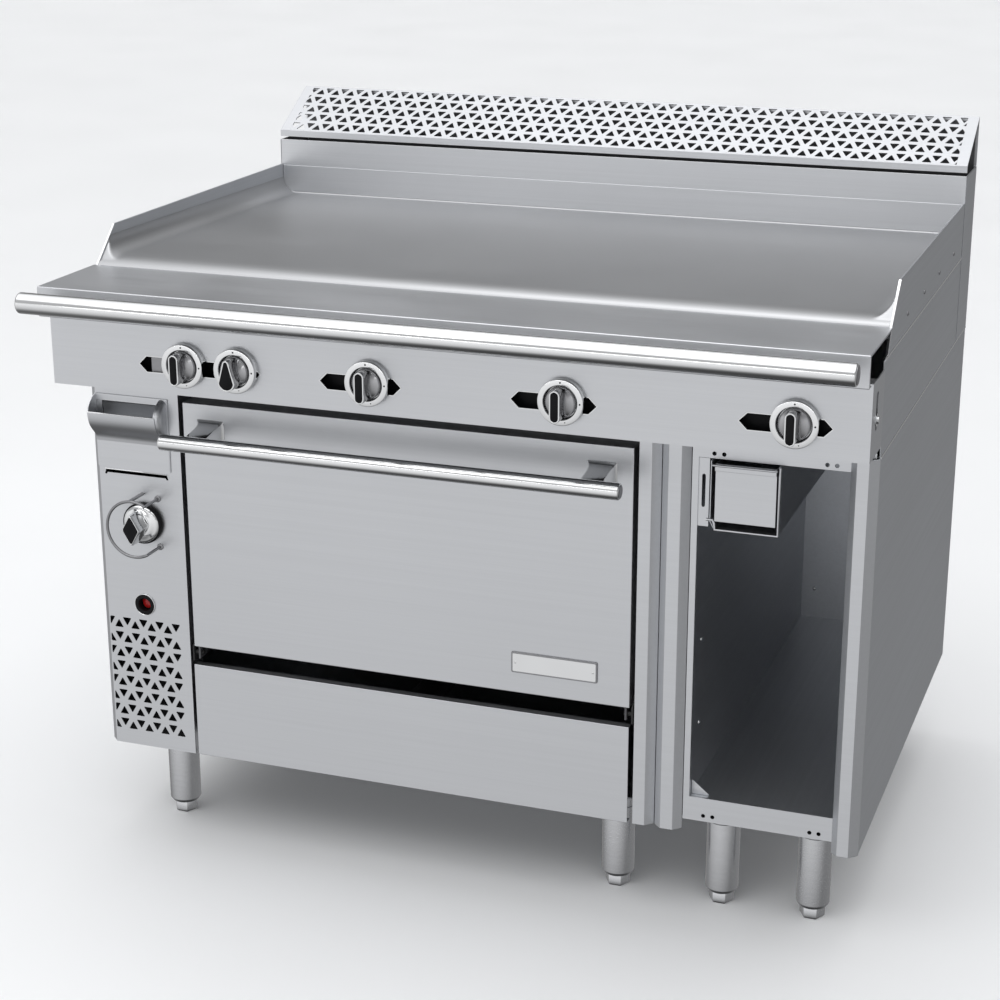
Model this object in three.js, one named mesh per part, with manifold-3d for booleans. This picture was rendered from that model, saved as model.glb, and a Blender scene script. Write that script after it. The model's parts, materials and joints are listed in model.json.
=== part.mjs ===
// Commercial gas range, 48 inch class: a 36 inch oven base and a 12 inch open
// cabinet base under one full-width griddle top, with a plate rail, a grab bar
// and a low backguard that carries the flue cap.
//
// Millimetres, +Z up, +X to the operator's right, the front faces -Y.
// Pieces are drawn with the oven door's face on y = 0 and the floor on z = 0.
// The whole group then moves along Y, so that the origin is under the middle.

import * as THREE from 'three';
import { mergeVertices } from 'three/addons/utils/BufferGeometryUtils.js';
import Module from 'manifold-3d';

const wasm = await Module();
wasm.setup();

// ---------------------------------------------------------------- dimensions

const BODY_WIDTH = 1219;
const OVEN_BASE_WIDTH = 914;
const BODY_BACK = 821.5;
const LEG_HEIGHT = 152;
const SHEET = 1.5;
const GAP = 0.3;

const HALF = BODY_WIDTH / 2;
const MODULE_JOINT = -HALF + OVEN_BASE_WIDTH;
const CORNER_CHAMFER = 12;
const POST_FACE = 18.5;

// heights of the seams between the stacked sections
const LOWER_TOP = 752.5;
const UPPER_TOP = 892;
const SPLASH_TOP = 982;
const RISER_TOP = 1026;
const CAP_TOP = 1107;
const DUCT_FRONT = 709.4;

// work top
const SPLASH_THICKNESS = 3.2;
const GRIDDLE_FRONT = 46.3;
const GRIDDLE_UNDERSIDE = 912;

// plate rail and grab bar
const RAIL_HALF = 612;
const RAIL_FRONT = -119;
const RAIL_TOP = 929;
const RAIL_BOTTOM = 884;
const RAIL_SHEET = 3;
const BAR_Y = -175;
const BAR_Z = 917;
const BAR_RADIUS = 15.5;
const BAR_HALF = 606;
const BAR_POSTS = [-450, 0, 450];

// control panel
const PANEL_FRONT = -88;
const PANEL_BOTTOM = 775;
const PANEL_TOP = 883.5;
const KNOB_X = [-390.5, -306.2, -99.6, 188.4, 512.2];
const KNOB_Z = 822;
const SLOT_Z = 818;
const SLOT_HALF_HEIGHT = 12.7;
const PANEL_SLOTS = [[-466.8, -268.6], [-177, -49.5], [111.6, 238.8], [433.8, 563.2]];
const DIAL_RADIUS = 33.2;
const DIAL_FRONT = -100;
const GRIP_FRONT = -125;
const TAPERED_KNOB = 2;

// control pillar to the left of the oven door
const PILLAR_RIGHT = -454.5;
const PILLAR_TOP = 752;
const THERMOSTAT = { x: -524, z: 536 };
const IGNITER = { x: -531, z: 398 };
const FLAP = { left: -598, right: -472, bottom: 622, top: 739 };
const VENT = { left: -594.5, right: -472.5, bottom: 174, rows: 8, pitch: 29, bar: 7.6 };

// oven door
const DOOR = { left: -447.4, right: 266.3, bottom: 338, top: 737, depth: 40 };
const DOOR_PIVOT = { y: 12, z: 325 };
const DOOR_MIDDLE = (DOOR.left + DOOR.right) / 2;
const HANDLE_Y = -70;
const HANDLE_Z = 694;
const HANDLE_RADIUS = 12.3;
const HANDLE_HALF = 358;
const HANDLE_BRACKET_X = 310;

// oven cavity
const OVEN = { left: -420, right: 239, front: 44, back: 745, bottom: 355, top: 715 };
const RACK_LEDGE_Z = 470;

// cabinet base
const CABINET = { left: 357, right: 571, front: 12.5, back: 788, bottom: 205.5, top: 730 };
const HOUSING = { left: 376.5, right: 474.5, bottom: 627, top: 729, back: 700 };

// legs
const LEG_X = [-528, 226, 392, 533];
const LEG_Y = { front: 93, rear: 742 };
const LEG_RADIUS = 25.4;
const FOOT_RADIUS = 19.5;

// ----------------------------------------------------------------- materials

function steel(color, roughness, metalness = 0.9) {
  return new THREE.MeshStandardMaterial({ color, roughness, metalness });
}

const finish = {
  brushed: () => steel(0xc4c7cb, 0.36),
  side: () => steel(0x8f9296, 0.42),
  chrome: () => steel(0xe4e6e8, 0.08, 1),
  plate: () => steel(0x7f8285, 0.34),
  liner: () => steel(0x3c3d40, 0.6, 0.6),
  cast: () => steel(0x55565a, 0.7, 0.5),
  black: () => steel(0x0b0b0c, 0.22, 0.1),
  red: () => steel(0xa01818, 0.35, 0),
  leg: () => steel(0x8d8f92, 0.3),
};

// ------------------------------------------------------------ solid helpers

function toManifold(geometry) {
  const bare = geometry.clone();
  bare.deleteAttribute('normal');
  bare.deleteAttribute('uv');
  const merged = mergeVertices(bare, 1e-4);
  return new wasm.Manifold(new wasm.Mesh({
    numProp: 3,
    vertProperties: new Float32Array(merged.attributes.position.array),
    triVerts: new Uint32Array(merged.index.array),
  }));
}

function toGeometry(manifold) {
  const result = manifold.getMesh();
  const geometry = new THREE.BufferGeometry();
  geometry.setAttribute('position', new THREE.BufferAttribute(result.vertProperties, 3));
  geometry.setIndex(new THREE.BufferAttribute(result.triVerts, 1));
  geometry.computeVertexNormals();
  return geometry;
}

function join(...geometries) {
  return toGeometry(geometries.map(toManifold).reduce((whole, next) => whole.add(next)));
}

function cut(geometry, ...tools) {
  return toGeometry(tools.map(toManifold).reduce((rest, tool) => rest.subtract(tool), toManifold(geometry)));
}

function box(x0, x1, y0, y1, z0, z1) {
  const geometry = new THREE.BoxGeometry(x1 - x0, y1 - y0, z1 - z0);
  return geometry.translate((x0 + x1) / 2, (y0 + y1) / 2, (z0 + z1) / 2);
}

// Keeps the triangles facing out after a mapping that may mirror the shape.
function mapped(geometry, matrix) {
  geometry.applyMatrix4(matrix);
  if (matrix.determinant() < 0) {
    const plain = geometry.index ? geometry.toNonIndexed() : geometry;
    const position = plain.attributes.position;
    for (let i = 0; i < position.count; i += 3) {
      const second = new THREE.Vector3().fromBufferAttribute(position, i + 1);
      const third = new THREE.Vector3().fromBufferAttribute(position, i + 2);
      position.setXYZ(i + 1, third.x, third.y, third.z);
      position.setXYZ(i + 2, second.x, second.y, second.z);
    }
    plain.computeVertexNormals();
    return plain;
  }
  return geometry;
}

// Axis mappings of a flat outline (u, v) that is pushed along w.
const PLANES = {
  YZ: new THREE.Matrix4().set(0, 0, 1, 0, 1, 0, 0, 0, 0, 1, 0, 0, 0, 0, 0, 1),
  XZ: new THREE.Matrix4().set(1, 0, 0, 0, 0, 0, 1, 0, 0, 1, 0, 0, 0, 0, 0, 1),
  XY: new THREE.Matrix4(),
};

function prism(plane, outline, from, to, holes = []) {
  const shape = new THREE.Shape(outline.map(([u, v]) => new THREE.Vector2(u, v)));
  for (const hole of holes) {
    shape.holes.push(new THREE.Path(hole.map(([u, v]) => new THREE.Vector2(u, v))));
  }
  const geometry = new THREE.ExtrudeGeometry(shape, { depth: to - from, bevelEnabled: false });
  geometry.translate(0, 0, from);
  return mapped(geometry, PLANES[plane]);
}

// Outline of a folded sheet: the fold line and its copy, moved `thickness`
// to the left of the walking direction, with mitred corners.
function folded(line, thickness = SHEET) {
  const points = line.map(([u, v]) => new THREE.Vector2(u, v));
  const normals = points.slice(1).map((point, i) => {
    const along = point.clone().sub(points[i]).normalize();
    return new THREE.Vector2(-along.y, along.x);
  });
  const inner = points.map((point, i) => {
    const before = normals[Math.max(i - 1, 0)];
    const after = normals[Math.min(i, normals.length - 1)];
    const mitre = before.clone().add(after).normalize();
    return point.clone().addScaledVector(mitre, thickness / mitre.dot(after));
  });
  return [...line, ...inner.reverse().map((point) => [point.x, point.y])];
}

function cylinder(axis, radius, from, to, centre, segments = 16) {
  const geometry = new THREE.CylinderGeometry(radius, radius, to - from, segments);
  geometry.translate(0, (from + to) / 2, 0);
  if (axis === 'x') geometry.rotateZ(-Math.PI / 2);
  if (axis === 'z') geometry.rotateX(Math.PI / 2);
  return geometry.translate(...centre);
}

// A turned piece on the Y axis: the profile lists (radius, y) going round.
function turnedOnY(profile, x, z, segments) {
  const points = profile.map(([radius, y]) => new THREE.Vector2(radius, y));
  return new THREE.LatheGeometry(points, segments).translate(x, 0, z);
}

function arc(cu, cv, radius, from, to, steps) {
  return Array.from({ length: steps + 1 }, (_, i) => {
    const angle = from + ((to - from) * i) / steps;
    return [cu + radius * Math.cos(angle), cv + radius * Math.sin(angle)];
  });
}

function rectangle(u0, u1, v0, v1) {
  return [[u0, v0], [u1, v0], [u1, v1], [u0, v1]];
}

function openBox(outer, wall, openSide) {
  const [x0, x1, y0, y1, z0, z1] = outer;
  const inner = [x0 + wall, x1 - wall, y0 + wall, y1 - wall, z0 + wall, z1 - wall];
  inner[openSide] = outer[openSide] + (openSide % 2 ? 1 : -1);
  return cut(box(...outer), box(...inner));
}

// ------------------------------------------------------------------ assembly

const range = new THREE.Group();
range.name = 'gas_range';

function add(name, geometry, material) {
  const mesh = new THREE.Mesh(geometry, material);
  mesh.name = name;
  range.add(mesh);
}

function addPair(name, geometry, makeMaterial) {
  const mirror = new THREE.Matrix4().makeScale(-1, 1, 1);
  add(`${name}_right`, geometry, makeMaterial());
  add(`${name}_left`, mapped(geometry.clone(), mirror), makeMaterial());
}

// ---- legs

function leg() {
  const shoulder = FOOT_RADIUS + 2;
  const profile = [
    [0, 0], [FOOT_RADIUS - 2.5, 0], [FOOT_RADIUS, 2.5], [FOOT_RADIUS, 19],
    [shoulder, 19], [LEG_RADIUS, 24], [LEG_RADIUS, LEG_HEIGHT + 17.5], [0, LEG_HEIGHT + 17.5],
  ];
  const points = profile.map(([radius, z]) => new THREE.Vector2(radius, z));
  return new THREE.LatheGeometry(points, 14).rotateX(Math.PI / 2);
}

for (const [row, y] of Object.entries(LEG_Y)) {
  LEG_X.forEach((x, i) => add(`leg_${row}_${i + 1}`, leg().translate(x, y, 0), finish.leg()));
}

// ---- lower sides, with the folded front posts

function foldedSide(line) {
  return prism('XY', folded(line), LEG_HEIGHT, LOWER_TOP);
}

const sideBack = BODY_BACK - SHEET - GAP;
const jointLeft = MODULE_JOINT - GAP;
const jointRight = MODULE_JOINT + GAP;

add('oven_side_left', box(-HALF, -HALF + SHEET, CORNER_CHAMFER + 2 + GAP, sideBack, LEG_HEIGHT, LOWER_TOP),
  finish.side());
add('oven_side_right', foldedSide([
  [jointLeft, sideBack], [jointLeft, CORNER_CHAMFER], [jointLeft - CORNER_CHAMFER, 0],
  [jointLeft - CORNER_CHAMFER - POST_FACE, 0], [jointLeft - CORNER_CHAMFER - POST_FACE, 30],
].reverse()), finish.brushed());
add('cabinet_side_left', foldedSide([
  [jointRight, sideBack], [jointRight, CORNER_CHAMFER], [jointRight + CORNER_CHAMFER, 0],
  [jointRight + CORNER_CHAMFER + POST_FACE, 0], [jointRight + 2 * CORNER_CHAMFER + POST_FACE, CORNER_CHAMFER],
]), finish.brushed());
add('cabinet_side_right', foldedSide([
  [HALF, sideBack], [HALF, CORNER_CHAMFER], [HALF - CORNER_CHAMFER, 0],
  [HALF - CORNER_CHAMFER - POST_FACE + 2, 0], [HALF - 2 * CORNER_CHAMFER - POST_FACE + 4, CORNER_CHAMFER - 2],
].reverse()), finish.side());

// ---- upper sides and splash sides

addPair('upper_side', prism('YZ', [
  [1, UPPER_TOP], [14.5, LOWER_TOP + GAP], [DUCT_FRONT - GAP, LOWER_TOP + GAP], [DUCT_FRONT - GAP, UPPER_TOP],
], HALF - SHEET, HALF), finish.side);

addPair('splash_side', prism('YZ', [
  [27, UPPER_TOP + GAP], [DUCT_FRONT - GAP, UPPER_TOP + GAP], [DUCT_FRONT - GAP, SPLASH_TOP],
  [104, SPLASH_TOP], [48, RAIL_TOP],
], HALF - SPLASH_THICKNESS, HALF), finish.side);

// ---- griddle plate, rolled along its front edge and falling a little to the back

const topHalf = HALF - SPLASH_THICKNESS - GAP;
const plateBack = DUCT_FRONT - 1 - 2 * GAP;

add('griddle_plate', prism('YZ', [
  [GRIDDLE_FRONT, GRIDDLE_UNDERSIDE], [plateBack, GRIDDLE_UNDERSIDE], [plateBack, 930.7], [95, 939.3],
  [72, 938.4], [59, 936.2], [50, 932.4], [GRIDDLE_FRONT, 927],
], -topHalf, topHalf), finish.plate());

add('rear_splash', box(-topHalf, topHalf, plateBack + GAP, DUCT_FRONT - GAP, GRIDDLE_UNDERSIDE, SPLASH_TOP - 2),
  finish.brushed());

// ---- backguard duct and flue cap

add('flue_riser', prism('XY', folded([
  [-HALF, sideBack], [-HALF, DUCT_FRONT], [HALF, DUCT_FRONT], [HALF, sideBack],
]), LOWER_TOP + GAP, RISER_TOP), finish.brushed());

add('rear_panel', box(-HALF, HALF, BODY_BACK - SHEET, BODY_BACK, LEG_HEIGHT, RISER_TOP), finish.side());

add('flue_cap', prism('YZ', folded([
  [BODY_BACK, RISER_TOP + GAP], [BODY_BACK, CAP_TOP], [DUCT_FRONT, 1042.3], [DUCT_FRONT, 1031.4],
]), -HALF, HALF), finish.brushed());

// ---- plate rail and grab bar

add('plate_rail', prism('YZ', folded([
  [GRIDDLE_FRONT - 1, RAIL_TOP], [RAIL_FRONT, RAIL_TOP], [RAIL_FRONT, RAIL_BOTTOM], [RAIL_FRONT + 14, RAIL_BOTTOM],
], RAIL_SHEET), -RAIL_HALF, RAIL_HALF), finish.brushed());

const barPosts = BAR_POSTS.map((x) => cylinder('y', 7, BAR_Y, RAIL_FRONT - GAP, [x, 0, BAR_Z - 9], 10));
add('grab_bar', join(cylinder('x', BAR_RADIUS, -BAR_HALF, BAR_HALF, [0, BAR_Y, BAR_Z], 20), ...barPosts),
  finish.chrome());

// ---- control panel: a folded front with slots for the valves, and slotted end brackets

function pointedSlot(x0, x1) {
  const half = SLOT_HALF_HEIGHT;
  return [
    [x0, SLOT_Z], [x0 + half, SLOT_Z - half], [x1 - half, SLOT_Z - half],
    [x1, SLOT_Z], [x1 - half, SLOT_Z + half], [x0 + half, SLOT_Z + half],
  ];
}

function endBracket(x) {
  const slot = [
    ...arc(-52, 858, 7, 0, Math.PI, 6),
    ...arc(-52, 818, 7, Math.PI, 2 * Math.PI, 6),
  ];
  const outline = rectangle(PANEL_FRONT + 1, -3, PANEL_BOTTOM + 1, PANEL_TOP - 1);
  return prism('YZ', outline, x - 1, x + 1, [slot]);
}

const panelSkin = prism('YZ', folded([
  [PANEL_FRONT + 30, PANEL_TOP], [PANEL_FRONT, PANEL_TOP], [PANEL_FRONT, PANEL_BOTTOM], [-4, PANEL_BOTTOM],
]), -RAIL_HALF, RAIL_HALF);
const panelCuts = PANEL_SLOTS.map(([x0, x1]) => prism('XZ', pointedSlot(x0, x1), PANEL_FRONT - 1, PANEL_FRONT + 5));
const endBrackets = [1 - RAIL_HALF, RAIL_HALF - 1].map(endBracket);
add('control_panel', join(cut(panelSkin, ...panelCuts), ...endBrackets), finish.brushed());

// ---- gas manifold with five valves

function valve(x) {
  return [
    box(x - 13, x + 13, -72, -40, KNOB_Z - 13, KNOB_Z + 13),
    cylinder('y', 4.5, -88, -70, [x, 0, KNOB_Z], 10),
  ];
}

add('gas_manifold', join(cylinder('x', 13.5, -560, 560, [0, -36, KNOB_Z], 14), ...KNOB_X.flatMap(valve)),
  finish.cast());

// ---- fixed dials and turning knobs

function dial(x) {
  return turnedOnY([
    [12, PANEL_FRONT - GAP], [12, PANEL_FRONT - 5], [23.5, PANEL_FRONT - 5], [25.5, DIAL_FRONT],
    [DIAL_RADIUS - 2, DIAL_FRONT], [DIAL_RADIUS, DIAL_FRONT + 2.5], [DIAL_RADIUS, PANEL_FRONT - GAP],
    [12, PANEL_FRONT - GAP],
  ], x, KNOB_Z, 24);
}

function straightGrip(halfWidth, halfHeight) {
  const run = halfHeight - halfWidth;
  return [...arc(0, run, halfWidth, 0, Math.PI, 6), ...arc(0, -run, halfWidth, Math.PI, 2 * Math.PI, 6)];
}

function taperedGrip() {
  return [...arc(0, 18, 5, 0.25, Math.PI - 0.25, 5), ...arc(0, -12, 13.5, Math.PI + 0.2, 2 * Math.PI - 0.2, 6)];
}

function knob(x, outline) {
  const hub = turnedOnY([
    [0, PANEL_FRONT - 2], [10, PANEL_FRONT - 2], [10, PANEL_FRONT - 6], [22.5, PANEL_FRONT - 6],
    [22.5, DIAL_FRONT - 1], [18, DIAL_FRONT - 4], [0, DIAL_FRONT - 4],
  ].reverse(), x, KNOB_Z, 20);
  const placed = outline.map(([u, v]) => [u + x, v + KNOB_Z]);
  return join(hub, prism('XZ', placed, GRIP_FRONT, DIAL_FRONT - 1));
}

KNOB_X.forEach((x, i) => {
  const outline = i + 1 === TAPERED_KNOB ? taperedGrip() : straightGrip(7.6, 23);
  add(`dial_${i + 1}`, dial(x), finish.chrome());
  add(`knob_${i + 1}`, knob(x, outline), finish.chrome());
});

// ---- griddle burners on one rear support, and the tray under them

const burnerTubes = [-457, -152, 152, 457].map((x) => cylinder('y', 16, 60, 684, [x, 0, 850], 12));
add('griddle_burners', join(box(-500, 500, 660, 672, 842, 848), ...burnerTubes), finish.cast());
add('burner_tray', openBox([-HALF + 4, HALF - 4, 45, 704, 757, 772], SHEET, 5), finish.side());

// ---- control pillar with its vent, slot and holes

// Triangles of the lattice, pointing up and down in turn, clipped at both sides.
function ventHoles() {
  const height = (VENT.pitch * Math.sqrt(3)) / 2;
  const centreToCorner = VENT.pitch / Math.sqrt(3) - VENT.bar;
  const holes = [];
  for (let row = 0; row < VENT.rows; row += 1) {
    const base = VENT.bottom + row * height;
    const shift = row % 2 ? VENT.pitch / 2 : 0;
    for (let k = -1; k * VENT.pitch / 2 < VENT.right - VENT.left; k += 1) {
      const up = k % 2 === 0;
      const x = VENT.left + shift + (k * VENT.pitch) / 2;
      const z = base + (up ? height / 3 : (2 * height) / 3);
      const turn = up ? Math.PI / 2 : -Math.PI / 2;
      const corners = [0, 1, 2].map((i) => {
        const angle = turn + (i * 2 * Math.PI) / 3;
        return [x + centreToCorner * Math.cos(angle), z + centreToCorner * Math.sin(angle)];
      });
      const xs = corners.map(([u]) => u);
      if (Math.min(...xs) > VENT.left - 1 && Math.max(...xs) < VENT.right + 1) holes.push(corners);
    }
  }
  return holes;
}

const pillarFold = prism('XY', folded([
  [-HALF, CORNER_CHAMFER + 2], [-HALF, CORNER_CHAMFER], [-HALF + CORNER_CHAMFER, 0],
  [PILLAR_RIGHT, 0], [PILLAR_RIGHT, 40],
]), LEG_HEIGHT, PILLAR_TOP);
add('control_pillar', cut(
  pillarFold,
  box(FLAP.left + 12, FLAP.right - 16, -5, 5, 650, 728),
  box(-586, -480, -5, 5, 611, 617),
  cylinder('y', 9, -5, 5, [THERMOSTAT.x, 0, THERMOSTAT.z]),
  cylinder('y', 14.6, -5, 5, [IGNITER.x, 0, IGNITER.z]),
  ...ventHoles().map((hole) => prism('XZ', hole, -5, 5)),
), finish.brushed());

// ---- lighting access flap, with a scoop pull along its top

function accessFlap() {
  const { left, right, bottom, top } = FLAP;
  const scoopEnd = right - 14;
  const belly = [[-0.9, 676], [-9, 680], [-19, 690], [-24.5, 703], [-25.5, 714]];
  const cheek = [...belly, [-19, 727], [-9, 736], [-0.9, top - 1]];
  return join(
    cut(box(left, right, -1.8, -GAP, bottom, top), box(left + 3, scoopEnd - 2, -5, 5, 683, 729)),
    prism('YZ', folded(belly), left + 0.5, scoopEnd + 1),
    prism('YZ', cheek, left, left + SHEET),
    prism('YZ', cheek, scoopEnd, scoopEnd + 8),
  );
}

add('access_flap', accessFlap(), finish.brushed());

// ---- oven thermostat knob and its wire guard

function thermostatKnob() {
  const { x, z } = THERMOSTAT;
  const skirt = turnedOnY([
    [0, 8], [5, 8], [5, -4], [33, -4], [33, -9], [29, -13], [20, -14], [18, -18], [0, -18],
  ].reverse(), x, z, 24);
  const diamond = [[0, -26], [15.5, -1], [15.5, 1], [0, 26], [-15.5, 1], [-15.5, -1]];
  return join(skirt, prism('XZ', diamond.map(([u, v]) => [u + x, v + z]), -45, -12));
}

add('thermostat_knob', thermostatKnob(), finish.chrome());

function knobGuard() {
  const ringX = THERMOSTAT.x + 4;
  const reach = -42;
  const radius = 45;
  const open = Math.acos(22 / radius);
  const loop = Array.from({ length: 15 }, (_, i) => {
    const angle = open + ((2 * Math.PI - 2 * open) * i) / 14;
    return new THREE.Vector3(ringX + radius * Math.cos(angle), reach, THERMOSTAT.z + 2 + radius * Math.sin(angle));
  });
  const start = loop[0].clone().setY(-GAP);
  const end = loop[loop.length - 1].clone().setY(-GAP);
  const path = new THREE.CurvePath();
  const stops = [start, ...loop, end];
  stops.slice(1).forEach((stop, i) => path.add(new THREE.LineCurve3(stops[i], stop)));
  const wire = new THREE.Shape(arc(0, 0, 2.6, 0, 2 * Math.PI, 6).slice(0, 6).map(([u, v]) => new THREE.Vector2(u, v)));
  return new THREE.ExtrudeGeometry(wire, { extrudePath: path, steps: 48, bevelEnabled: false });
}

add('knob_guard', knobGuard(), finish.chrome());

// ---- igniter: a bezel and the button recessed in it

add('igniter_bezel', turnedOnY([
  [10.5, -3], [10.5, 24], [14, 24], [14, -GAP], [18, -GAP], [18, -3], [10.5, -3],
].reverse(), IGNITER.x, IGNITER.z, 20), finish.black());
add('igniter_button', cylinder('y', 9.8, 7, 22, [IGNITER.x, 0, IGNITER.z], 16), finish.red());

// ---- oven burner with its thermostat valve and gas line

const burnerX = DOOR_MIDDLE;
add('oven_burner', join(
  box(THERMOSTAT.x - 21, THERMOSTAT.x + 21, 10, 62, THERMOSTAT.z - 22, THERMOSTAT.z + 22),
  cylinder('z', 7, 262, THERMOSTAT.z - 10, [THERMOSTAT.x, 52, 0], 8),
  cylinder('x', 7, THERMOSTAT.x, burnerX, [0, 52, 270], 8),
  cylinder('y', 22, 48, 700, [burnerX, 0, 270], 12),
), finish.cast());

// ---- kick panel and the oven's base pan

add('kick_panel', prism('YZ', folded([
  [14, 307.5], [0, 307.5], [0, LEG_HEIGHT], [14, LEG_HEIGHT],
]), -449.2, 265.8), finish.brushed());
add('base_pan', box(-HALF + SHEET + GAP, jointLeft - SHEET - GAP, 42, sideBack - GAP, LEG_HEIGHT + 18, LEG_HEIGHT + 21),
  finish.side());

// ---- oven door

add('door_outer', openBox([DOOR.left, DOOR.right, 0, DOOR.depth, DOOR.bottom, DOOR.top], SHEET, 3), finish.brushed());

function doorEar(x) {
  const back = DOOR.depth + GAP;
  const outline = [
    [4, 317], [24, 317], [back + 2, 329], [back + 2, 360], [back, 360], [back, DOOR.bottom - GAP],
    [4, DOOR.bottom - GAP],
  ];
  const bore = arc(DOOR_PIVOT.y, DOOR_PIVOT.z, 4.6, 0, 2 * Math.PI, 12).slice(0, 12);
  return prism('YZ', outline, x - SHEET, x + SHEET, [bore]);
}

const earOffset = 350;
const lining = [DOOR.left, DOOR.right, DOOR.depth + GAP, DOOR.depth + 2, DOOR.bottom, DOOR.top];
const plug = [OVEN.left + 5, OVEN.right - 5, DOOR.depth + 1, 60, OVEN.bottom + 5, OVEN.top - 6];
const plugHollow = [plug[0] + 2, plug[1] - 2, DOOR.depth - 5, 58, plug[4] + 2, plug[5] - 2];
add('door_liner', join(
  cut(join(box(...lining), box(...plug)), box(...plugHollow)),
  doorEar(DOOR_MIDDLE - earOffset),
  doorEar(DOOR_MIDDLE + earOffset),
), finish.liner());

add('door_handle_bar', cylinder('x', HANDLE_RADIUS, DOOR_MIDDLE - HANDLE_HALF, DOOR_MIDDLE + HANDLE_HALF,
  [0, HANDLE_Y, HANDLE_Z], 20), finish.chrome());

function handleBracket(x) {
  const under = HANDLE_Z - HANDLE_RADIUS + 4;
  const arm = prism('YZ', [
    [-GAP, 701], [-GAP, 668], [-8, 674], [-22, under], [HANDLE_Y, under], [HANDLE_Y, HANDLE_Z + 6], [-22, 697],
    [-8, 698],
  ], x - 17, x + 17);
  const seat = cylinder('x', HANDLE_RADIUS + GAP, x - 20, x + 20, [0, HANDLE_Y, HANDLE_Z], 20);
  return cut(arm, seat);
}

add('handle_bracket_left', handleBracket(DOOR_MIDDLE - HANDLE_BRACKET_X), finish.brushed());
add('handle_bracket_right', handleBracket(DOOR_MIDDLE + HANDLE_BRACKET_X), finish.brushed());
add('name_plate', box(83, 217, -2.3, -GAP, 371, 404), finish.chrome());

// ---- door hinge brackets, each with its pin through the door's ear

function hingeBracket(side) {
  const inner = side * (DOOR.right - DOOR_MIDDLE + 2.2);
  const outer = side * (DOOR.right - DOOR_MIDDLE + 4.7);
  const tip = side * (earOffset - 4);
  const [x0, x1] = [inner, outer].sort((a, b) => a - b);
  const plate = prism('YZ', [[3, 312], [41, 312], [41, 361], [28, 361], [3, 338]], x0, x1);
  const [p0, p1] = [tip, (inner + outer) / 2].sort((a, b) => a - b);
  const pin = cylinder('x', 4, p0, p1, [0, DOOR_PIVOT.y, DOOR_PIVOT.z], 12);
  return join(plate, pin).translate(DOOR_MIDDLE, 0, 0);
}

add('hinge_bracket_left', hingeBracket(-1), finish.cast());
add('hinge_bracket_right', hingeBracket(1), finish.cast());

// ---- oven cavity with rack ledges, and the rack

function rackLedges() {
  const levels = [RACK_LEDGE_Z - 90, RACK_LEDGE_Z, RACK_LEDGE_Z + 90];
  return levels.flatMap((z) => [
    box(OVEN.left - 1, OVEN.left + 12, 90, 730, z - 3, z),
    box(OVEN.right - 12, OVEN.right + 1, 90, 730, z - 3, z),
  ]);
}

const cavity = box(OVEN.left, OVEN.right, OVEN.front - 5, OVEN.back, OVEN.bottom, OVEN.top);
const shell = box(OVEN.left - SHEET, OVEN.right + SHEET, OVEN.front, OVEN.back + SHEET, OVEN.bottom - SHEET,
  OVEN.top + SHEET);
const flange = box(-470, 290, OVEN.front, OVEN.front + SHEET, 320, 745);
add('oven_liner', join(cut(join(shell, flange), cavity), ...rackLedges()), finish.liner());

function ovenRack() {
  const wire = 6;
  const [x0, x1] = [OVEN.left + 3, OVEN.right - 3];
  const [y0, y1] = [100, 720];
  const z0 = RACK_LEDGE_Z + GAP;
  const bars = [
    box(x0, x1, y0, y0 + wire, z0, z0 + wire),
    box(x0, x1, y1 - wire, y1, z0, z0 + wire),
    box(x0, x0 + wire, y0, y1, z0, z0 + wire),
    box(x1 - wire, x1, y0, y1, z0, z0 + wire),
  ];
  const count = 11;
  for (let i = 1; i <= count; i += 1) {
    const x = x0 + ((x1 - x0) * i) / (count + 1);
    bars.push(box(x - 2, x + 2, y0 + 1, y1 - 1, z0 + 1, z0 + 5));
  }
  return join(...bars);
}

add('oven_rack', ovenRack(), finish.chrome());

// ---- cabinet base: front frame with its base pan and drawer bracket, and the liner

function roundHole(x, z, radius) {
  return cylinder('y', radius, CABINET.front - 5, CABINET.front + 8, [x, 0, z], 10);
}

const frameLeft = jointRight + 2 * CORNER_CHAMFER + POST_FACE + 0.5;
const frameRight = HALF - SHEET - 3;
const frameHoles = [379, 393, 538, 551.5].flatMap((x) => [roundHole(x, 177, 3.2), roundHole(x, 737, 3.2)]);
const bracketSlot = [...arc(364.5, 703, 2.6, 0, Math.PI, 5), ...arc(364.5, 659, 2.6, Math.PI, 2 * Math.PI, 5)];
add('cabinet_frame', join(
  cut(
    prism('XZ', rectangle(frameLeft, frameRight, LEG_HEIGHT + 16, CABINET.top + 30), CABINET.front, CABINET.front + 2,
      [rectangle(CABINET.left, CABINET.right, CABINET.bottom, CABINET.top)]),
    ...frameHoles,
  ),
  box(jointRight + SHEET + GAP, HALF - SHEET - GAP, CABINET.front + 1.9, sideBack - GAP, LEG_HEIGHT + 18,
    LEG_HEIGHT + 21),
  prism('XZ', rectangle(frameLeft + 3, 372.5, 628, 729), CABINET.front + 1.9, CABINET.front + 3.5, [bracketSlot]),
), finish.brushed());

const linerBottom = CABINET.bottom - 2;
add('cabinet_liner', cut(
  box(CABINET.left - SHEET, 598 + SHEET, CABINET.front + 4, CABINET.back + SHEET, linerBottom, LOWER_TOP),
  box(CABINET.left, 598, CABINET.front, CABINET.back, linerBottom + SHEET, LOWER_TOP + 1),
), finish.liner());

// ---- grease drawer and its housing

add('drawer_housing', prism('XZ', folded([
  [HOUSING.left, HOUSING.top], [HOUSING.left, HOUSING.bottom + 13], [HOUSING.left + 7, HOUSING.bottom],
  [HOUSING.right, HOUSING.bottom], [HOUSING.right, HOUSING.top],
]), 4, HOUSING.back), finish.side());

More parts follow.
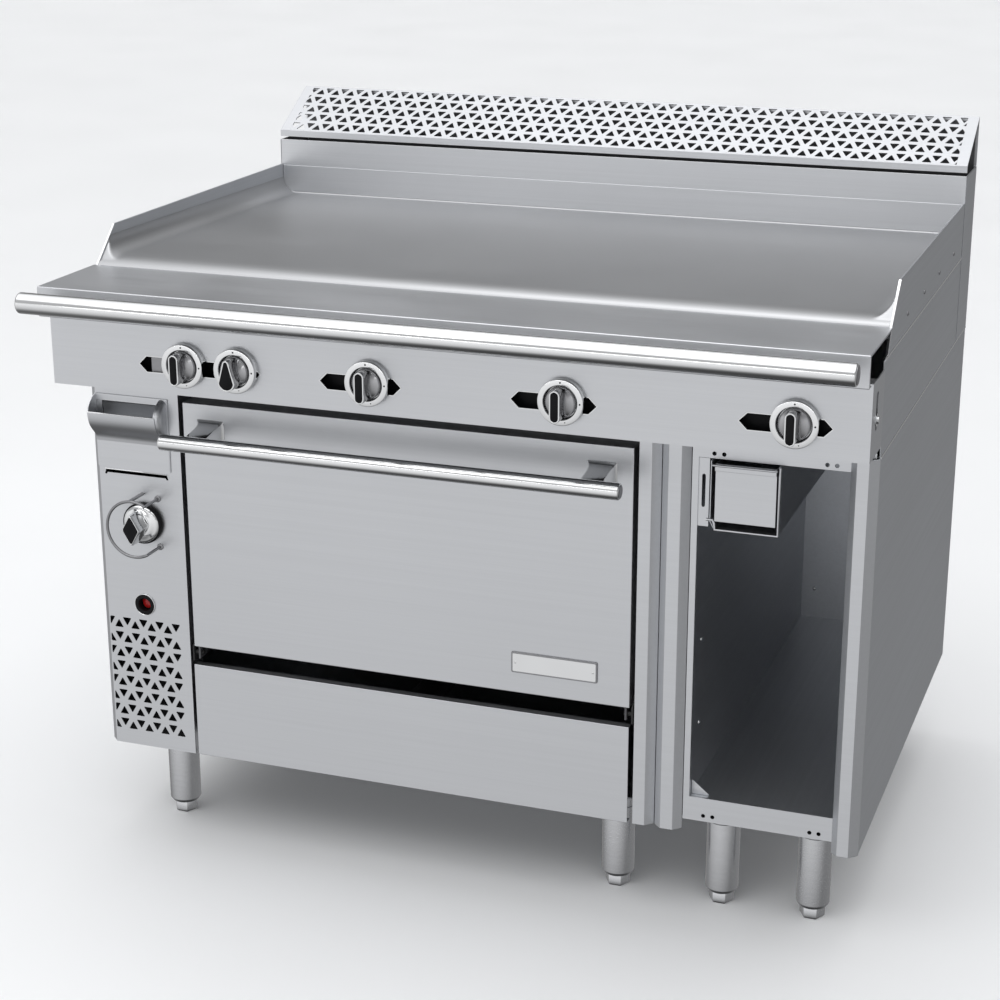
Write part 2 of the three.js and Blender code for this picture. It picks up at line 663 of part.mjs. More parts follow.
const drawer = [384, 471, 2, 600, 641, 726];
add('grease_drawer', join(
  openBox(drawer, SHEET, 5),
  box(drawer[0], drawer[1], -2.5, 2.5, 716.5, 726),
), finish.brushed());

// ---------------------------------------------- origin under the middle

const front = BAR_Y - BAR_RADIUS;
range.position.y = -(front + BODY_BACK) / 2;

export default range;
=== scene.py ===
"""Commercial gas range with a full-width griddle: fine shape, finishes and a plain studio.

Sizes are in millimetres in the drawing frame of the range: X runs to the right,
Y runs from the door's face (0) to the back, and Z runs up from the floor.
"""

from __future__ import annotations

import json
import logging
import math
from dataclasses import dataclass, field
from enum import Enum
from typing import Any, Sequence

import bmesh
import bpy
from mathutils import Matrix, Vector

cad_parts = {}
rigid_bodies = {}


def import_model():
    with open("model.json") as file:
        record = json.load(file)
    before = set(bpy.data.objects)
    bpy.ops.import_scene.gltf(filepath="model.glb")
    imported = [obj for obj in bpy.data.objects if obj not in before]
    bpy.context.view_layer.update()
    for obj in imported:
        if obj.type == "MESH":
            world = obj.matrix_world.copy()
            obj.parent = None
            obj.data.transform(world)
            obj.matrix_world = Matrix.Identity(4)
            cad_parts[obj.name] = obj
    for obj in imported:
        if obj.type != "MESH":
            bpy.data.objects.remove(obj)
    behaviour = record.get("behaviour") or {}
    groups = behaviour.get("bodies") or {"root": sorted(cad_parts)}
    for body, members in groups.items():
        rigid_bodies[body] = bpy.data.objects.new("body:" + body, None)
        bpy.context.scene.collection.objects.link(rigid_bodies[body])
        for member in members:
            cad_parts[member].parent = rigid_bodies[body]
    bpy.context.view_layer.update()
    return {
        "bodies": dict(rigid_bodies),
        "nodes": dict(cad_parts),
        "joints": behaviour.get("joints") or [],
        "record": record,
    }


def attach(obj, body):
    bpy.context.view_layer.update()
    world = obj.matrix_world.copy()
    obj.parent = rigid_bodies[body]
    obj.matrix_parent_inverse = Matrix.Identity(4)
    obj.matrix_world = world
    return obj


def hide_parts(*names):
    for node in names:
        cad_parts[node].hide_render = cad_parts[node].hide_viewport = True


log = logging.getLogger("range")

MM = 0.001
DEPTH_SHIFT = -0.3155
Point2 = tuple[float, float]
Point3 = tuple[float, float, float]


class Slot(Enum):
    """Material slots named by the record."""

    FRONT = "brushed_front"
    SIDE = "brushed_side"
    TRIM = "polished_trim"
    CASTING = "satin_casting"
    GRIDDLE = "griddle_steel"
    LINER = "dark_liner"
    BURNER = "cast_burner"
    RACK = "rack_wire"
    BLACK = "black_bezel"
    RED = "red_button"
    LEG = "leg_steel"


class Axis(Enum):
    """Direction of a brushed grain, an extrusion or a turning axis."""

    X = 0
    Y = 1
    Z = 2


def place(point: Sequence[float]) -> Vector:
    """Returns a drawing-frame point, in millimetres, as a row-frame point in metres."""
    x, y, z = point
    return Vector((x * MM, y * MM + DEPTH_SHIFT, z * MM))


# ---------------------------------------------------------------- finishes


@dataclass
class Graph:
    """A material's node tree with short ways to add and join nodes."""

    material: bpy.types.Material
    nodes: Any = field(init=False)
    links: Any = field(init=False)

    def __post_init__(self) -> None:
        """Empties the tree and keeps its collections."""
        self.material.use_nodes = True
        self.nodes = self.material.node_tree.nodes
        self.links = self.material.node_tree.links
        self.nodes.clear()

    def add(self, kind: str, **settings: Any) -> bpy.types.Node:
        """Adds a node.

        Args:
            kind: The node's type without its "ShaderNode" prefix.
            settings: Node properties to set.

        Returns:
            The new node.
        """
        node = self.nodes.new("ShaderNode" + kind)
        for name, value in settings.items():
            setattr(node, name, value)
        return node

    def join(self, source: Any, target: Any) -> None:
        """Links one socket to another."""
        self.links.new(source, target)

    def noise(self, scale: Sequence[float], detail: float = 2.0, distortion: float = 0.0) -> Any:
        """Adds noise over object coordinates.

        Args:
            scale: Cycles per metre along each axis.
            detail: Octaves of the noise.
            distortion: How much the noise is stirred.

        Returns:
            The noise's value socket, which is near 0.5.
        """
        coordinates = self.add("TexCoord")
        mapping = self.add("Mapping")
        mapping.inputs["Scale"].default_value = tuple(scale)
        noise = self.add("TexNoise")
        noise.inputs["Scale"].default_value = 1.0
        noise.inputs["Detail"].default_value = detail
        noise.inputs["Distortion"].default_value = distortion
        self.join(coordinates.outputs["Object"], mapping.inputs["Vector"])
        self.join(mapping.outputs["Vector"], noise.inputs["Vector"])
        return noise.outputs["Fac"]

    def spread(self, value: Any, low: float, high: float) -> Any:
        """Maps noise from its usual range to another range.

        Args:
            value: Socket that gives the noise.
            low: Low end of the range.
            high: High end of the range.

        Returns:
            The socket of the mapped value.
        """
        node = self.add("MapRange")
        node.inputs["From Min"].default_value = 0.3
        node.inputs["From Max"].default_value = 0.7
        node.inputs["To Min"].default_value = low
        node.inputs["To Max"].default_value = high
        self.join(value, node.inputs["Value"])
        return node.outputs["Result"]

    def total(self, first: Any, second: Any) -> Any:
        """Adds two values.

        Args:
            first: Socket of the first value.
            second: Socket of the second value.

        Returns:
            The socket of the sum.
        """
        node = self.add("Math", operation="ADD")
        self.join(first, node.inputs[0])
        self.join(second, node.inputs[1])
        return node.outputs["Value"]

    def ramp(self, value: Any, stops: Sequence[tuple[float, Sequence[float]]]) -> Any:
        """Maps a value to a colour through stops.

        Args:
            value: Socket of the value.
            stops: Pairs of a position and a colour.

        Returns:
            The socket of the colour.
        """
        node = self.add("ValToRGB")
        elements = node.color_ramp.elements
        while len(elements) < len(stops):
            elements.new(0.5)
        for element, (position, colour) in zip(elements, stops):
            element.position = position
            element.color = (*colour, 1.0)
        self.join(value, node.inputs["Fac"])
        return node.outputs["Color"]

    def bump(self, height: Any, strength: float, distance: float) -> Any:
        """Turns a height into a bent normal.

        Args:
            height: Socket with the height.
            strength: Share of the bump that shows.
            distance: Depth of the relief in metres.

        Returns:
            The normal socket.
        """
        node = self.add("Bump")
        node.inputs["Strength"].default_value = strength
        node.inputs["Distance"].default_value = distance
        self.join(height, node.inputs["Height"])
        return node.outputs["Normal"]

    def surface(self, **inputs: Any) -> None:
        """Ends the tree with a Principled surface; sockets are joined and values are set.

        Args:
            inputs: Principled inputs, with underscores for spaces.
        """
        shader = self.add("BsdfPrincipled")
        for name, value in inputs.items():
            socket = shader.inputs[name.replace("_", " ")]
            if isinstance(value, bpy.types.NodeSocket):
                self.join(value, socket)
            else:
                socket.default_value = value
        output = self.add("OutputMaterial")
        self.join(shader.outputs["BSDF"], output.inputs["Surface"])


def shades(tone: Sequence[float], spread: float) -> list[tuple[float, list[float]]]:
    """Lists ramp stops from darker to lighter than a tone.

    Args:
        tone: Middle colour.
        spread: Share of the tone to go down and up.

    Returns:
        Pairs of a position and a colour.
    """
    return [
        (0.0, [c * (1 - spread) for c in tone]),
        (0.5, list(tone)),
        (1.0, [min(1.0, c * (1 + spread)) for c in tone]),
    ]


@dataclass(frozen=True)
class BrushedSteel:
    """Stainless sheet with a fine one-way grain, soft handling marks and faint waviness."""

    tone: Point3
    grain: Axis
    roughness: float = 0.34
    grain_rate: float = 900.0
    grain_length: float = 5.0
    contrast: float = 0.07
    relief: float = 0.00004
    wave: float = 0.0012

    def material(self, name: str) -> bpy.types.Material:
        """Returns the finish as a material with the given name.

        Args:
            name: Name of the material.

        Returns:
            The material.
        """
        graph = Graph(bpy.data.materials.new(name))
        rates = [self.grain_rate] * 3
        rates[self.grain.value] = self.grain_length
        grain = graph.noise(rates, detail=3.0)
        coarse = graph.noise([rate * 0.22 for rate in rates], detail=1.0)
        clouds = graph.noise((3.1, 3.1, 2.3), detail=4.0, distortion=0.6)
        waviness = graph.noise((2.3, 1.7, 1.9), detail=0.0)
        mixed = graph.total(graph.spread(grain, 0.0, 0.5), graph.spread(coarse, 0.0, 0.3))
        mixed = graph.total(mixed, graph.spread(clouds, 0.0, 0.2))
        rough = graph.total(
            graph.spread(grain, self.roughness - 0.05, self.roughness + 0.05),
            graph.spread(clouds, -0.035, 0.045),
        )
        fine = graph.bump(grain, 0.6, self.relief)
        node = graph.add("Bump")
        node.inputs["Strength"].default_value = 0.5
        node.inputs["Distance"].default_value = self.wave
        graph.join(waviness, node.inputs["Height"])
        graph.join(fine, node.inputs["Normal"])
        graph.surface(
            Base_Color=graph.ramp(mixed, shades(self.tone, self.contrast)),
            Metallic=1.0,
            Roughness=rough,
            Normal=node.outputs["Normal"],
        )
        return graph.material


@dataclass(frozen=True)
class PolishedSteel:
    """Bright trim with hairline scratches and faint smears."""

    tone: Point3
    roughness: float = 0.09

    def material(self, name: str) -> bpy.types.Material:
        """Returns the finish as a material with the given name.

        Args:
            name: Name of the material.

        Returns:
            The material.
        """
        graph = Graph(bpy.data.materials.new(name))
        scratches = graph.noise((25.0, 1400.0, 1400.0), detail=2.0, distortion=0.2)
        smears = graph.noise((14.0, 14.0, 14.0), detail=4.0, distortion=1.2)
        rough = graph.total(
            graph.spread(scratches, self.roughness - 0.03, self.roughness + 0.03),
            graph.spread(smears, -0.01, 0.05),
        )
        graph.surface(
            Base_Color=graph.ramp(smears, shades(self.tone, 0.04)),
            Metallic=1.0,
            Roughness=rough,
            Normal=graph.bump(scratches, 0.3, 0.00002),
        )
        return graph.material


@dataclass(frozen=True)
class CastMetal:
    """Cast or enamelled surface with a fine pebble and uneven tone."""

    tone: Point3
    metallic: float
    roughness: float
    pebble: float = 0.0003
    rate: float = 420.0

    def material(self, name: str) -> bpy.types.Material:
        """Returns the finish as a material with the given name.

        Args:
            name: Name of the material.

        Returns:
            The material.
        """
        graph = Graph(bpy.data.materials.new(name))
        grit = graph.noise((self.rate,) * 3, detail=3.0)
        patches = graph.noise((17.0, 17.0, 17.0), detail=5.0, distortion=0.8)
        rough = graph.total(
            graph.spread(grit, self.roughness - 0.05, self.roughness + 0.05),
            graph.spread(patches, -0.05, 0.06),
        )
        graph.surface(
            Base_Color=graph.ramp(patches, shades(self.tone, 0.18)),
            Metallic=self.metallic,
            Roughness=rough,
            Normal=graph.bump(grit, 0.5, self.pebble),
        )
        return graph.material


@dataclass(frozen=True)
class GroundPlate:
    """Griddle steel: ground along its width, with faint seasoning clouds."""

    tone: Point3
    roughness: float = 0.3

    def material(self, name: str) -> bpy.types.Material:
        """Returns the finish as a material with the given name.

        Args:
            name: Name of the material.

        Returns:
            The material.
        """
        graph = Graph(bpy.data.materials.new(name))
        ground = graph.noise((5.0, 600.0, 600.0), detail=1.0)
        seasoning = graph.noise((2.2, 3.5, 3.5), detail=3.0, distortion=0.6)
        tone = graph.total(graph.spread(seasoning, 0.1, 0.7), graph.spread(ground, 0.0, 0.2))
        rough = graph.total(
            graph.spread(seasoning, self.roughness - 0.03, self.roughness + 0.04),
            graph.spread(ground, -0.02, 0.02),
        )
        graph.surface(
            Base_Color=graph.ramp(tone, shades(self.tone, 0.05)),
            Metallic=1.0,
            Roughness=rough,
            Normal=graph.bump(ground, 0.35, 0.00003),
        )
        return graph.material


@dataclass(frozen=True)
class GlossPlastic:
    """Moulded plastic with a faint orange peel and dusty patches."""

    tone: Point3
    roughness: float = 0.22
    shine: float = 0.5

    def material(self, name: str) -> bpy.types.Material:
        """Returns the finish as a material with the given name.

        Args:
            name: Name of the material.

        Returns:
            The material.
        """
        graph = Graph(bpy.data.materials.new(name))
        peel = graph.noise((650.0, 650.0, 650.0), detail=1.0)
        dust = graph.noise((90.0, 90.0, 90.0), detail=5.0)
        graph.surface(
            Base_Color=graph.ramp(dust, shades(self.tone, 0.25)),
            Metallic=0.0,
            Roughness=graph.spread(dust, self.roughness - 0.06, self.roughness + 0.12),
            Normal=graph.bump(peel, 0.35, 0.00005),
            Specular_IOR_Level=self.shine,
        )
        return graph.material


@dataclass(frozen=True)
class FloorPaint:
    """Pale matt floor with a faint mottle."""

    tone: Point3 = (0.86, 0.865, 0.87)

    def material(self, name: str) -> bpy.types.Material:
        """Returns the finish as a material with the given name.

        Args:
            name: Name of the material.

        Returns:
            The material.
        """
        graph = Graph(bpy.data.materials.new(name))
        mottle = graph.noise((1.5, 1.5, 1.5), detail=5.0)
        graph.surface(
            Base_Color=graph.ramp(mottle, shades(self.tone, 0.012)),
            Roughness=graph.spread(mottle, 0.55, 0.65),
            Normal=graph.bump(mottle, 0.1, 0.001),
        )
        return graph.material


FINISHES: dict[Slot, Any] = {
    Slot.FRONT: BrushedSteel(tone=(0.625, 0.635, 0.655), grain=Axis.X, roughness=0.38, contrast=0.04),
    Slot.SIDE: BrushedSteel(tone=(0.58, 0.595, 0.62), grain=Axis.Y, roughness=0.42, contrast=0.07),
    Slot.TRIM: PolishedSteel(tone=(0.77, 0.775, 0.78), roughness=0.08),
    Slot.CASTING: CastMetal(tone=(0.30, 0.30, 0.31), metallic=1.0, roughness=0.36, pebble=0.0001),
    Slot.GRIDDLE: GroundPlate(tone=(0.44, 0.445, 0.455), roughness=0.40),
    Slot.LINER: CastMetal(tone=(0.10, 0.10, 0.105), metallic=0.6, roughness=0.42, pebble=0.0002),
    Slot.BURNER: CastMetal(tone=(0.05, 0.05, 0.05), metallic=0.7, roughness=0.6),
    Slot.RACK: PolishedSteel(tone=(0.42, 0.42, 0.43), roughness=0.16),
    Slot.BLACK: GlossPlastic(tone=(0.008, 0.008, 0.009), roughness=0.35, shine=0.08),
    Slot.RED: GlossPlastic(tone=(0.42, 0.012, 0.012), roughness=0.28, shine=0.45),
    Slot.LEG: BrushedSteel(tone=(0.60, 0.605, 0.62), grain=Axis.X, roughness=0.2, grain_rate=1200.0),
}


@dataclass
class Palette:
    """One material for every slot, made once."""

    made: dict[Slot, bpy.types.Material] = field(default_factory=dict)

    def of(self, slot: Slot) -> bpy.types.Material:
        """Gives a slot's material, made when it is first asked for.

        Args:
            slot: The slot.

        Returns:
            The material.
        """
        if slot not in self.made:
            self.made[slot] = FINISHES[slot].material(slot.value)
        return self.made[slot]


# ---------------------------------------------------------------- mesh tools


def add_object(name: str, mesh: bpy.types.Mesh) -> bpy.types.Object:
    """Links a mesh to the scene as an object at the origin.

    Args:
        name: Name of the object.
        mesh: Its mesh.

    Returns:
        The object.
    """
    obj = bpy.data.objects.new(name, mesh)
    bpy.context.scene.collection.objects.link(obj)
    return obj


def build(name: str, points: Sequence[Sequence[float]], faces: Sequence[Sequence[int]]) -> bpy.types.Object:
    """Makes a closed mesh with its faces turned outward.

    Args:
        name: Name of the object.
        points: Corners in drawing millimetres.
        faces: Corner numbers of each face.

    Returns:
        The new object.
    """
    mesh = bpy.data.meshes.new(name)
    mesh.from_pydata([place(p) for p in points], [], [list(f) for f in faces])
    weld(mesh)
    return add_object(name, mesh)


def weld(mesh: bpy.types.Mesh, distance: float = 2e-6, flatten: bool = False) -> None:
    """Joins doubled corners and turns the faces outward.

    Args:
        mesh: Mesh to change.
        distance: Corners closer than this become one.
        flatten: Whether triangles in one plane become one face.
    """
    work = bmesh.new()
    work.from_mesh(mesh)
    bmesh.ops.remove_doubles(work, verts=work.verts, dist=distance)
    bmesh.ops.dissolve_degenerate(work, edges=work.edges, dist=distance)
    if flatten:
        bmesh.ops.dissolve_limit(
            work, angle_limit=math.radians(0.6), verts=work.verts, edges=work.edges, delimit={"NORMAL"}
        )
    bmesh.ops.recalc_face_normals(work, faces=work.faces)
    work.to_mesh(mesh)
    work.free()


def bake(obj: bpy.types.Object, crease: float | None = 40.0) -> bpy.types.Object:
    """Turns an object and its modifiers into a plain, smooth-shaded mesh.

    Args:
        obj: Object with live modifiers.
        crease: Edges that turn more than this many degrees stay sharp; None keeps the shading as it is.

    Returns:
        The same object with a plain mesh.
    """
    graph = bpy.context.evaluated_depsgraph_get()
    graph.update()
    plain = bpy.data.meshes.new_from_object(obj.evaluated_get(graph), depsgraph=graph)
    plain.name = obj.name
    obj.modifiers.clear()
    obj.data = plain
    if crease is not None:
        plain.shade_smooth()
        plain.set_sharp_from_angle(angle=math.radians(crease))
    return obj


def soften(obj: bpy.types.Object, width: float, segments: int = 2, angle: float = 32.0) -> bpy.types.Object:
    """Rounds an object's edges and keeps its flat faces flat.

    Args:
        obj: Object to round.
        width: Width of the rounding in millimetres.
        segments: Steps across the rounding.
        angle: Only edges that turn more than this many degrees are rounded.

    Returns:
        The same object with a plain mesh.
    """
    obj.data.shade_smooth()
    bevel = obj.modifiers.new("Edges", "BEVEL")
    bevel.width = width * MM
    bevel.segments = segments
    bevel.limit_method = "ANGLE"
    bevel.angle_limit = math.radians(angle)
    bevel.miter_outer = "MITER_ARC"
    bevel.use_clamp_overlap = True
    normals = obj.modifiers.new("Normals", "WEIGHTED_NORMAL")
    normals.keep_sharp = True
    normals.weight = 60
    return bake(obj, None)


def lathe(name: str, profile: Sequence[Point2], centre: Point3, axis: Axis,
          segments: int = 64) -> bpy.types.Object:
    """Turns a profile about an axis.

    Args:
        name: Name of the object.
        profile: Radius and height pairs. It starts and ends on the axis, or at one shared point.
        centre: Drawing point the heights are measured from.
        axis: Axis that the profile turns about.
        segments: Steps round the axis.

    Returns:
        The turned object.
    """
    others = [a for a in range(3) if a != axis.value]
    points: list[list[float]] = []
    rings: list[list[int]] = []
    closed = profile[0] == profile[-1]
    for radius, height in profile[:-1] if closed else profile:
        count = segments if radius > 1e-6 else 1
        ring = []
        for step in range(count):
            angle = 2 * math.pi * step / segments
            point = list(centre)
            point[axis.value] += height
            point[others[0]] += radius * math.cos(angle)
            point[others[1]] += radius * math.sin(angle)
            ring.append(len(points))
            points.append(point)
        rings.append(ring)
    faces: list[list[int]] = []
    pairs = list(zip(rings, rings[1:])) + ([(rings[-1], rings[0])] if closed else [])
    for low, high in pairs:
        for step in range(segments):
            after = (step + 1) % segments
            corners = [low[step % len(low)], low[after % len(low)], high[after % len(high)],
                       high[step % len(high)]]
            kept = list(dict.fromkeys(corners))
            if len(kept) > 2:
                faces.append(kept)
    return build(name, points, faces)


def along(axis: Axis, position: float, point: Point2) -> Point3:
    """Returns the drawing point at a position on an axis and a point across it."""
    u, v = point
    return {Axis.X: (position, u, v), Axis.Y: (u, position, v), Axis.Z: (u, v, position)}[axis]


def loft(name: str, sections: Sequence[Sequence[Point3]]) -> bpy.types.Object:
    """Joins matching outlines, one after another, into a closed body.

    Args:
        name: Name of the body.
        sections: Outlines with the same number of points each.

    Returns:
        The body.
    """
    count = len(sections[0])
    points = [p for section in sections for p in section]
    faces = [list(range(count)), [len(points) - count + i for i in range(count)]]
    for level in range(len(sections) - 1):
        for i in range(count):
            a, b = level * count + i, level * count + (i + 1) % count
            faces.append([a, b, b + count, a + count])
    return build(name, points, faces)


def extrude(name: str, outline: Sequence[Point2], axis: Axis, low: float, high: float) -> bpy.types.Object:
    """Extrudes an outline, given across the axis, from low to high along it."""
    return loft(name, [[along(axis, level, p) for p in outline] for level in (low, high)])


def thick(path: Sequence[Point2], thickness: float) -> list[Point2]:
    """Returns the outline of a sheet that follows a path.

    Args:
        path: Points of one face of the sheet.
        thickness: Offset of the other face; positive is to the left of the path.

    Returns:
        The closed outline.
    """
    directions = [
        (Vector(b) - Vector(a)).normalized() for a, b in zip(path, path[1:])
    ]
    outer = []
    for i, point in enumerate(path):
        before = directions[max(i - 1, 0)]
        after = directions[min(i, len(directions) - 1)]
        left = Vector((-before.y - after.y, before.x + after.x)).normalized()
        stretch = 1 / max(0.3, left.dot(Vector((-after.y, after.x))))
        outer.append(tuple(Vector(point) + left * thickness * stretch))
    return [*path, *reversed(outer)]


def tube(name: str, path: Sequence[Point3], radius: float, closed: bool = False,
         sides: int = 4) -> bpy.types.Object:
    """Runs a round wire along a path.

    Args:
        name: Name of the object.
        path: Drawing points of the wire's middle.
        radius: Radius of the wire.
        closed: Whether the path comes back to its start.
        sides: Steps in a quarter of the wire's section.

    Returns:
        The wire as a plain mesh.
    """
    curve = bpy.data.curves.new(name, "CURVE")
    curve.dimensions = "3D"
    curve.bevel_depth = radius * MM
    curve.bevel_resolution = sides
    curve.use_fill_caps = not closed
    spline = curve.splines.new("POLY")
    spline.points.add(len(path) - 1)
    for target, point in zip(spline.points, path):
        target.co = (*place(point), 1.0)
    spline.use_cyclic_u = closed
    return from_curve(name, curve)


def from_curve(name: str, curve: bpy.types.Curve) -> bpy.types.Object:
    """Turns curve data into a welded mesh object.

    Args:
        name: Name of the object.
        curve: The curve data.

    Returns:
        The object.
    """
    source = bpy.data.objects.new(name + "_curve", curve)
    bpy.context.scene.collection.objects.link(source)
    graph = bpy.context.evaluated_depsgraph_get()
    mesh = bpy.data.meshes.new_from_object(source.evaluated_get(graph), depsgraph=graph)
    bpy.data.objects.remove(source)
    weld(mesh)
    obj = add_object(name, mesh)
    return bake(obj)


def plate(name: str, outline: Sequence[Point2], holes: Sequence[Sequence[Point2]], front: float,
          back: float) -> bpy.types.Object:
    """Makes an upright plate, facing -Y, with holes through it.

    Args:
        name: Name of the object.
        outline: X and Z of its edge.
        holes: X and Z of the edge of each hole.
        front: Y of its front face.
        back: Y of its back face.

    Returns:
        The plate.
    """
    curve = bpy.data.curves.new(name, "CURVE")
    curve.dimensions = "2D"
    curve.fill_mode = "BOTH"
    curve.extrude = (back - front) / 2 * MM
    for loop in (outline, *holes):
        spline = curve.splines.new("POLY")
        spline.points.add(len(loop) - 1)
        for target, (x, z) in zip(spline.points, loop):
            target.co = (x * MM, z * MM, 0.0, 1.0)
        spline.use_cyclic_u = True
    obj = from_curve(name, curve)
    upright = Matrix.Translation(place((0, (front + back) / 2, 0))) @ Matrix.Rotation(math.pi / 2, 4, "X")
    obj.data.transform(upright)
    weld(obj.data)
    return obj


def rectangle(u0: float, u1: float, v0: float, v1: float) -> list[Point2]:
    """Returns the corners of a rectangle."""
    return [(u0, v0), (u1, v0), (u1, v1), (u0, v1)]


def circle(u: float, v: float, radius: float, steps: int = 40) -> list[Point2]:
    """Returns points round a circle."""
    turns = [2 * math.pi * i / steps for i in range(steps)]
    return [(u + radius * math.cos(t), v + radius * math.sin(t)) for t in turns]


def rounded(u0: float, u1: float, v0: float, v1: float, radius: float, steps: int = 5) -> list[Point2]:
    """Draws a rectangle with rounded corners.

    Args:
        u0: Low first coordinate.
        u1: High first coordinate.
        v0: Low second coordinate.
        v1: High second coordinate.
        radius: Radius of the corners.
        steps: Segments in each corner.

    Returns:
        The outline.
    """
    middles = [(u1 - radius, v1 - radius), (u0 + radius, v1 - radius), (u0 + radius, v0 + radius),
               (u1 - radius, v0 + radius)]
    points = []
    for corner, (u, v) in enumerate(middles):
        for i in range(steps + 1):
            turn = (corner + i / steps) * math.pi / 2
            points.append((u + radius * math.cos(turn), v + radius * math.sin(turn)))
    return points


def eased(corners: Sequence[Point2], reach: float, steps: int = 3) -> list[Point2]:
    """Returns a polygon with its corners rounded off.

    Args:
        corners: Corners of the polygon.
        reach: How far from each corner the rounding starts.
        steps: Steps across each rounding.

    Returns:
        The points of the rounded outline.
    """
    outline: list[Point2] = []
    count = len(corners)
    for i, corner in enumerate(corners):
        here = Vector(corner)
        ends = []
        for other in (corners[i - 1], corners[(i + 1) % count]):
            edge = Vector(other) - here
            ends.append(here + edge * min(0.4, reach / max(edge.length, 0.01)))
        for step in range(steps + 1):
            t = step / steps
            point = ends[0] * (1 - t) ** 2 + here * 2 * t * (1 - t) + ends[1] * t * t
            outline.append((point.x, point.y))
    return outline


def merged(name: str, objects: Sequence[bpy.types.Object]) -> bpy.types.Object:
    """Puts the meshes of several plain objects into one object.

    Args:
        name: Name of the new object.
        objects: The objects, removed afterwards.

    Returns:
        The new object.
    """
    work = bmesh.new()
    for obj in objects:
        work.from_mesh(obj.data)
        bpy.data.objects.remove(obj)
    mesh = bpy.data.meshes.new(name)
    work.to_mesh(mesh)
    work.free()
    stored = mesh.attributes.get("custom_normal")
    if stored:
        mesh.attributes.remove(stored)
    mesh.shade_smooth()
    mesh.set_sharp_from_angle(angle=math.radians(40))
    return add_object(name, mesh)


def trim(obj: bpy.types.Object, half: float) -> None:
    """Cuts a piece off at both ends and closes the cuts.

    Args:
        obj: The piece, changed in place.
        half: Distance from the middle to each cut, in millimetres.
    """
    work = bmesh.new()
    work.from_mesh(obj.data)
    for sign in (-1, 1):
        shape = [*work.verts, *work.edges, *work.faces]
        point, normal = Vector((sign * half * MM, 0, 0)), Vector((sign, 0, 0))
        cut = bmesh.ops.bisect_plane(work, geom=shape, dist=1e-7, plane_co=point, plane_no=normal,
                                     clear_outer=True)
        rim = [item for item in cut["geom_cut"] if isinstance(item, bmesh.types.BMEdge)]
        bmesh.ops.holes_fill(work, edges=rim, sides=0)
    bmesh.ops.recalc_face_normals(work, faces=work.faces)
    work.to_mesh(obj.data)
    work.free()


# ---------------------------------------------------------------- repeats


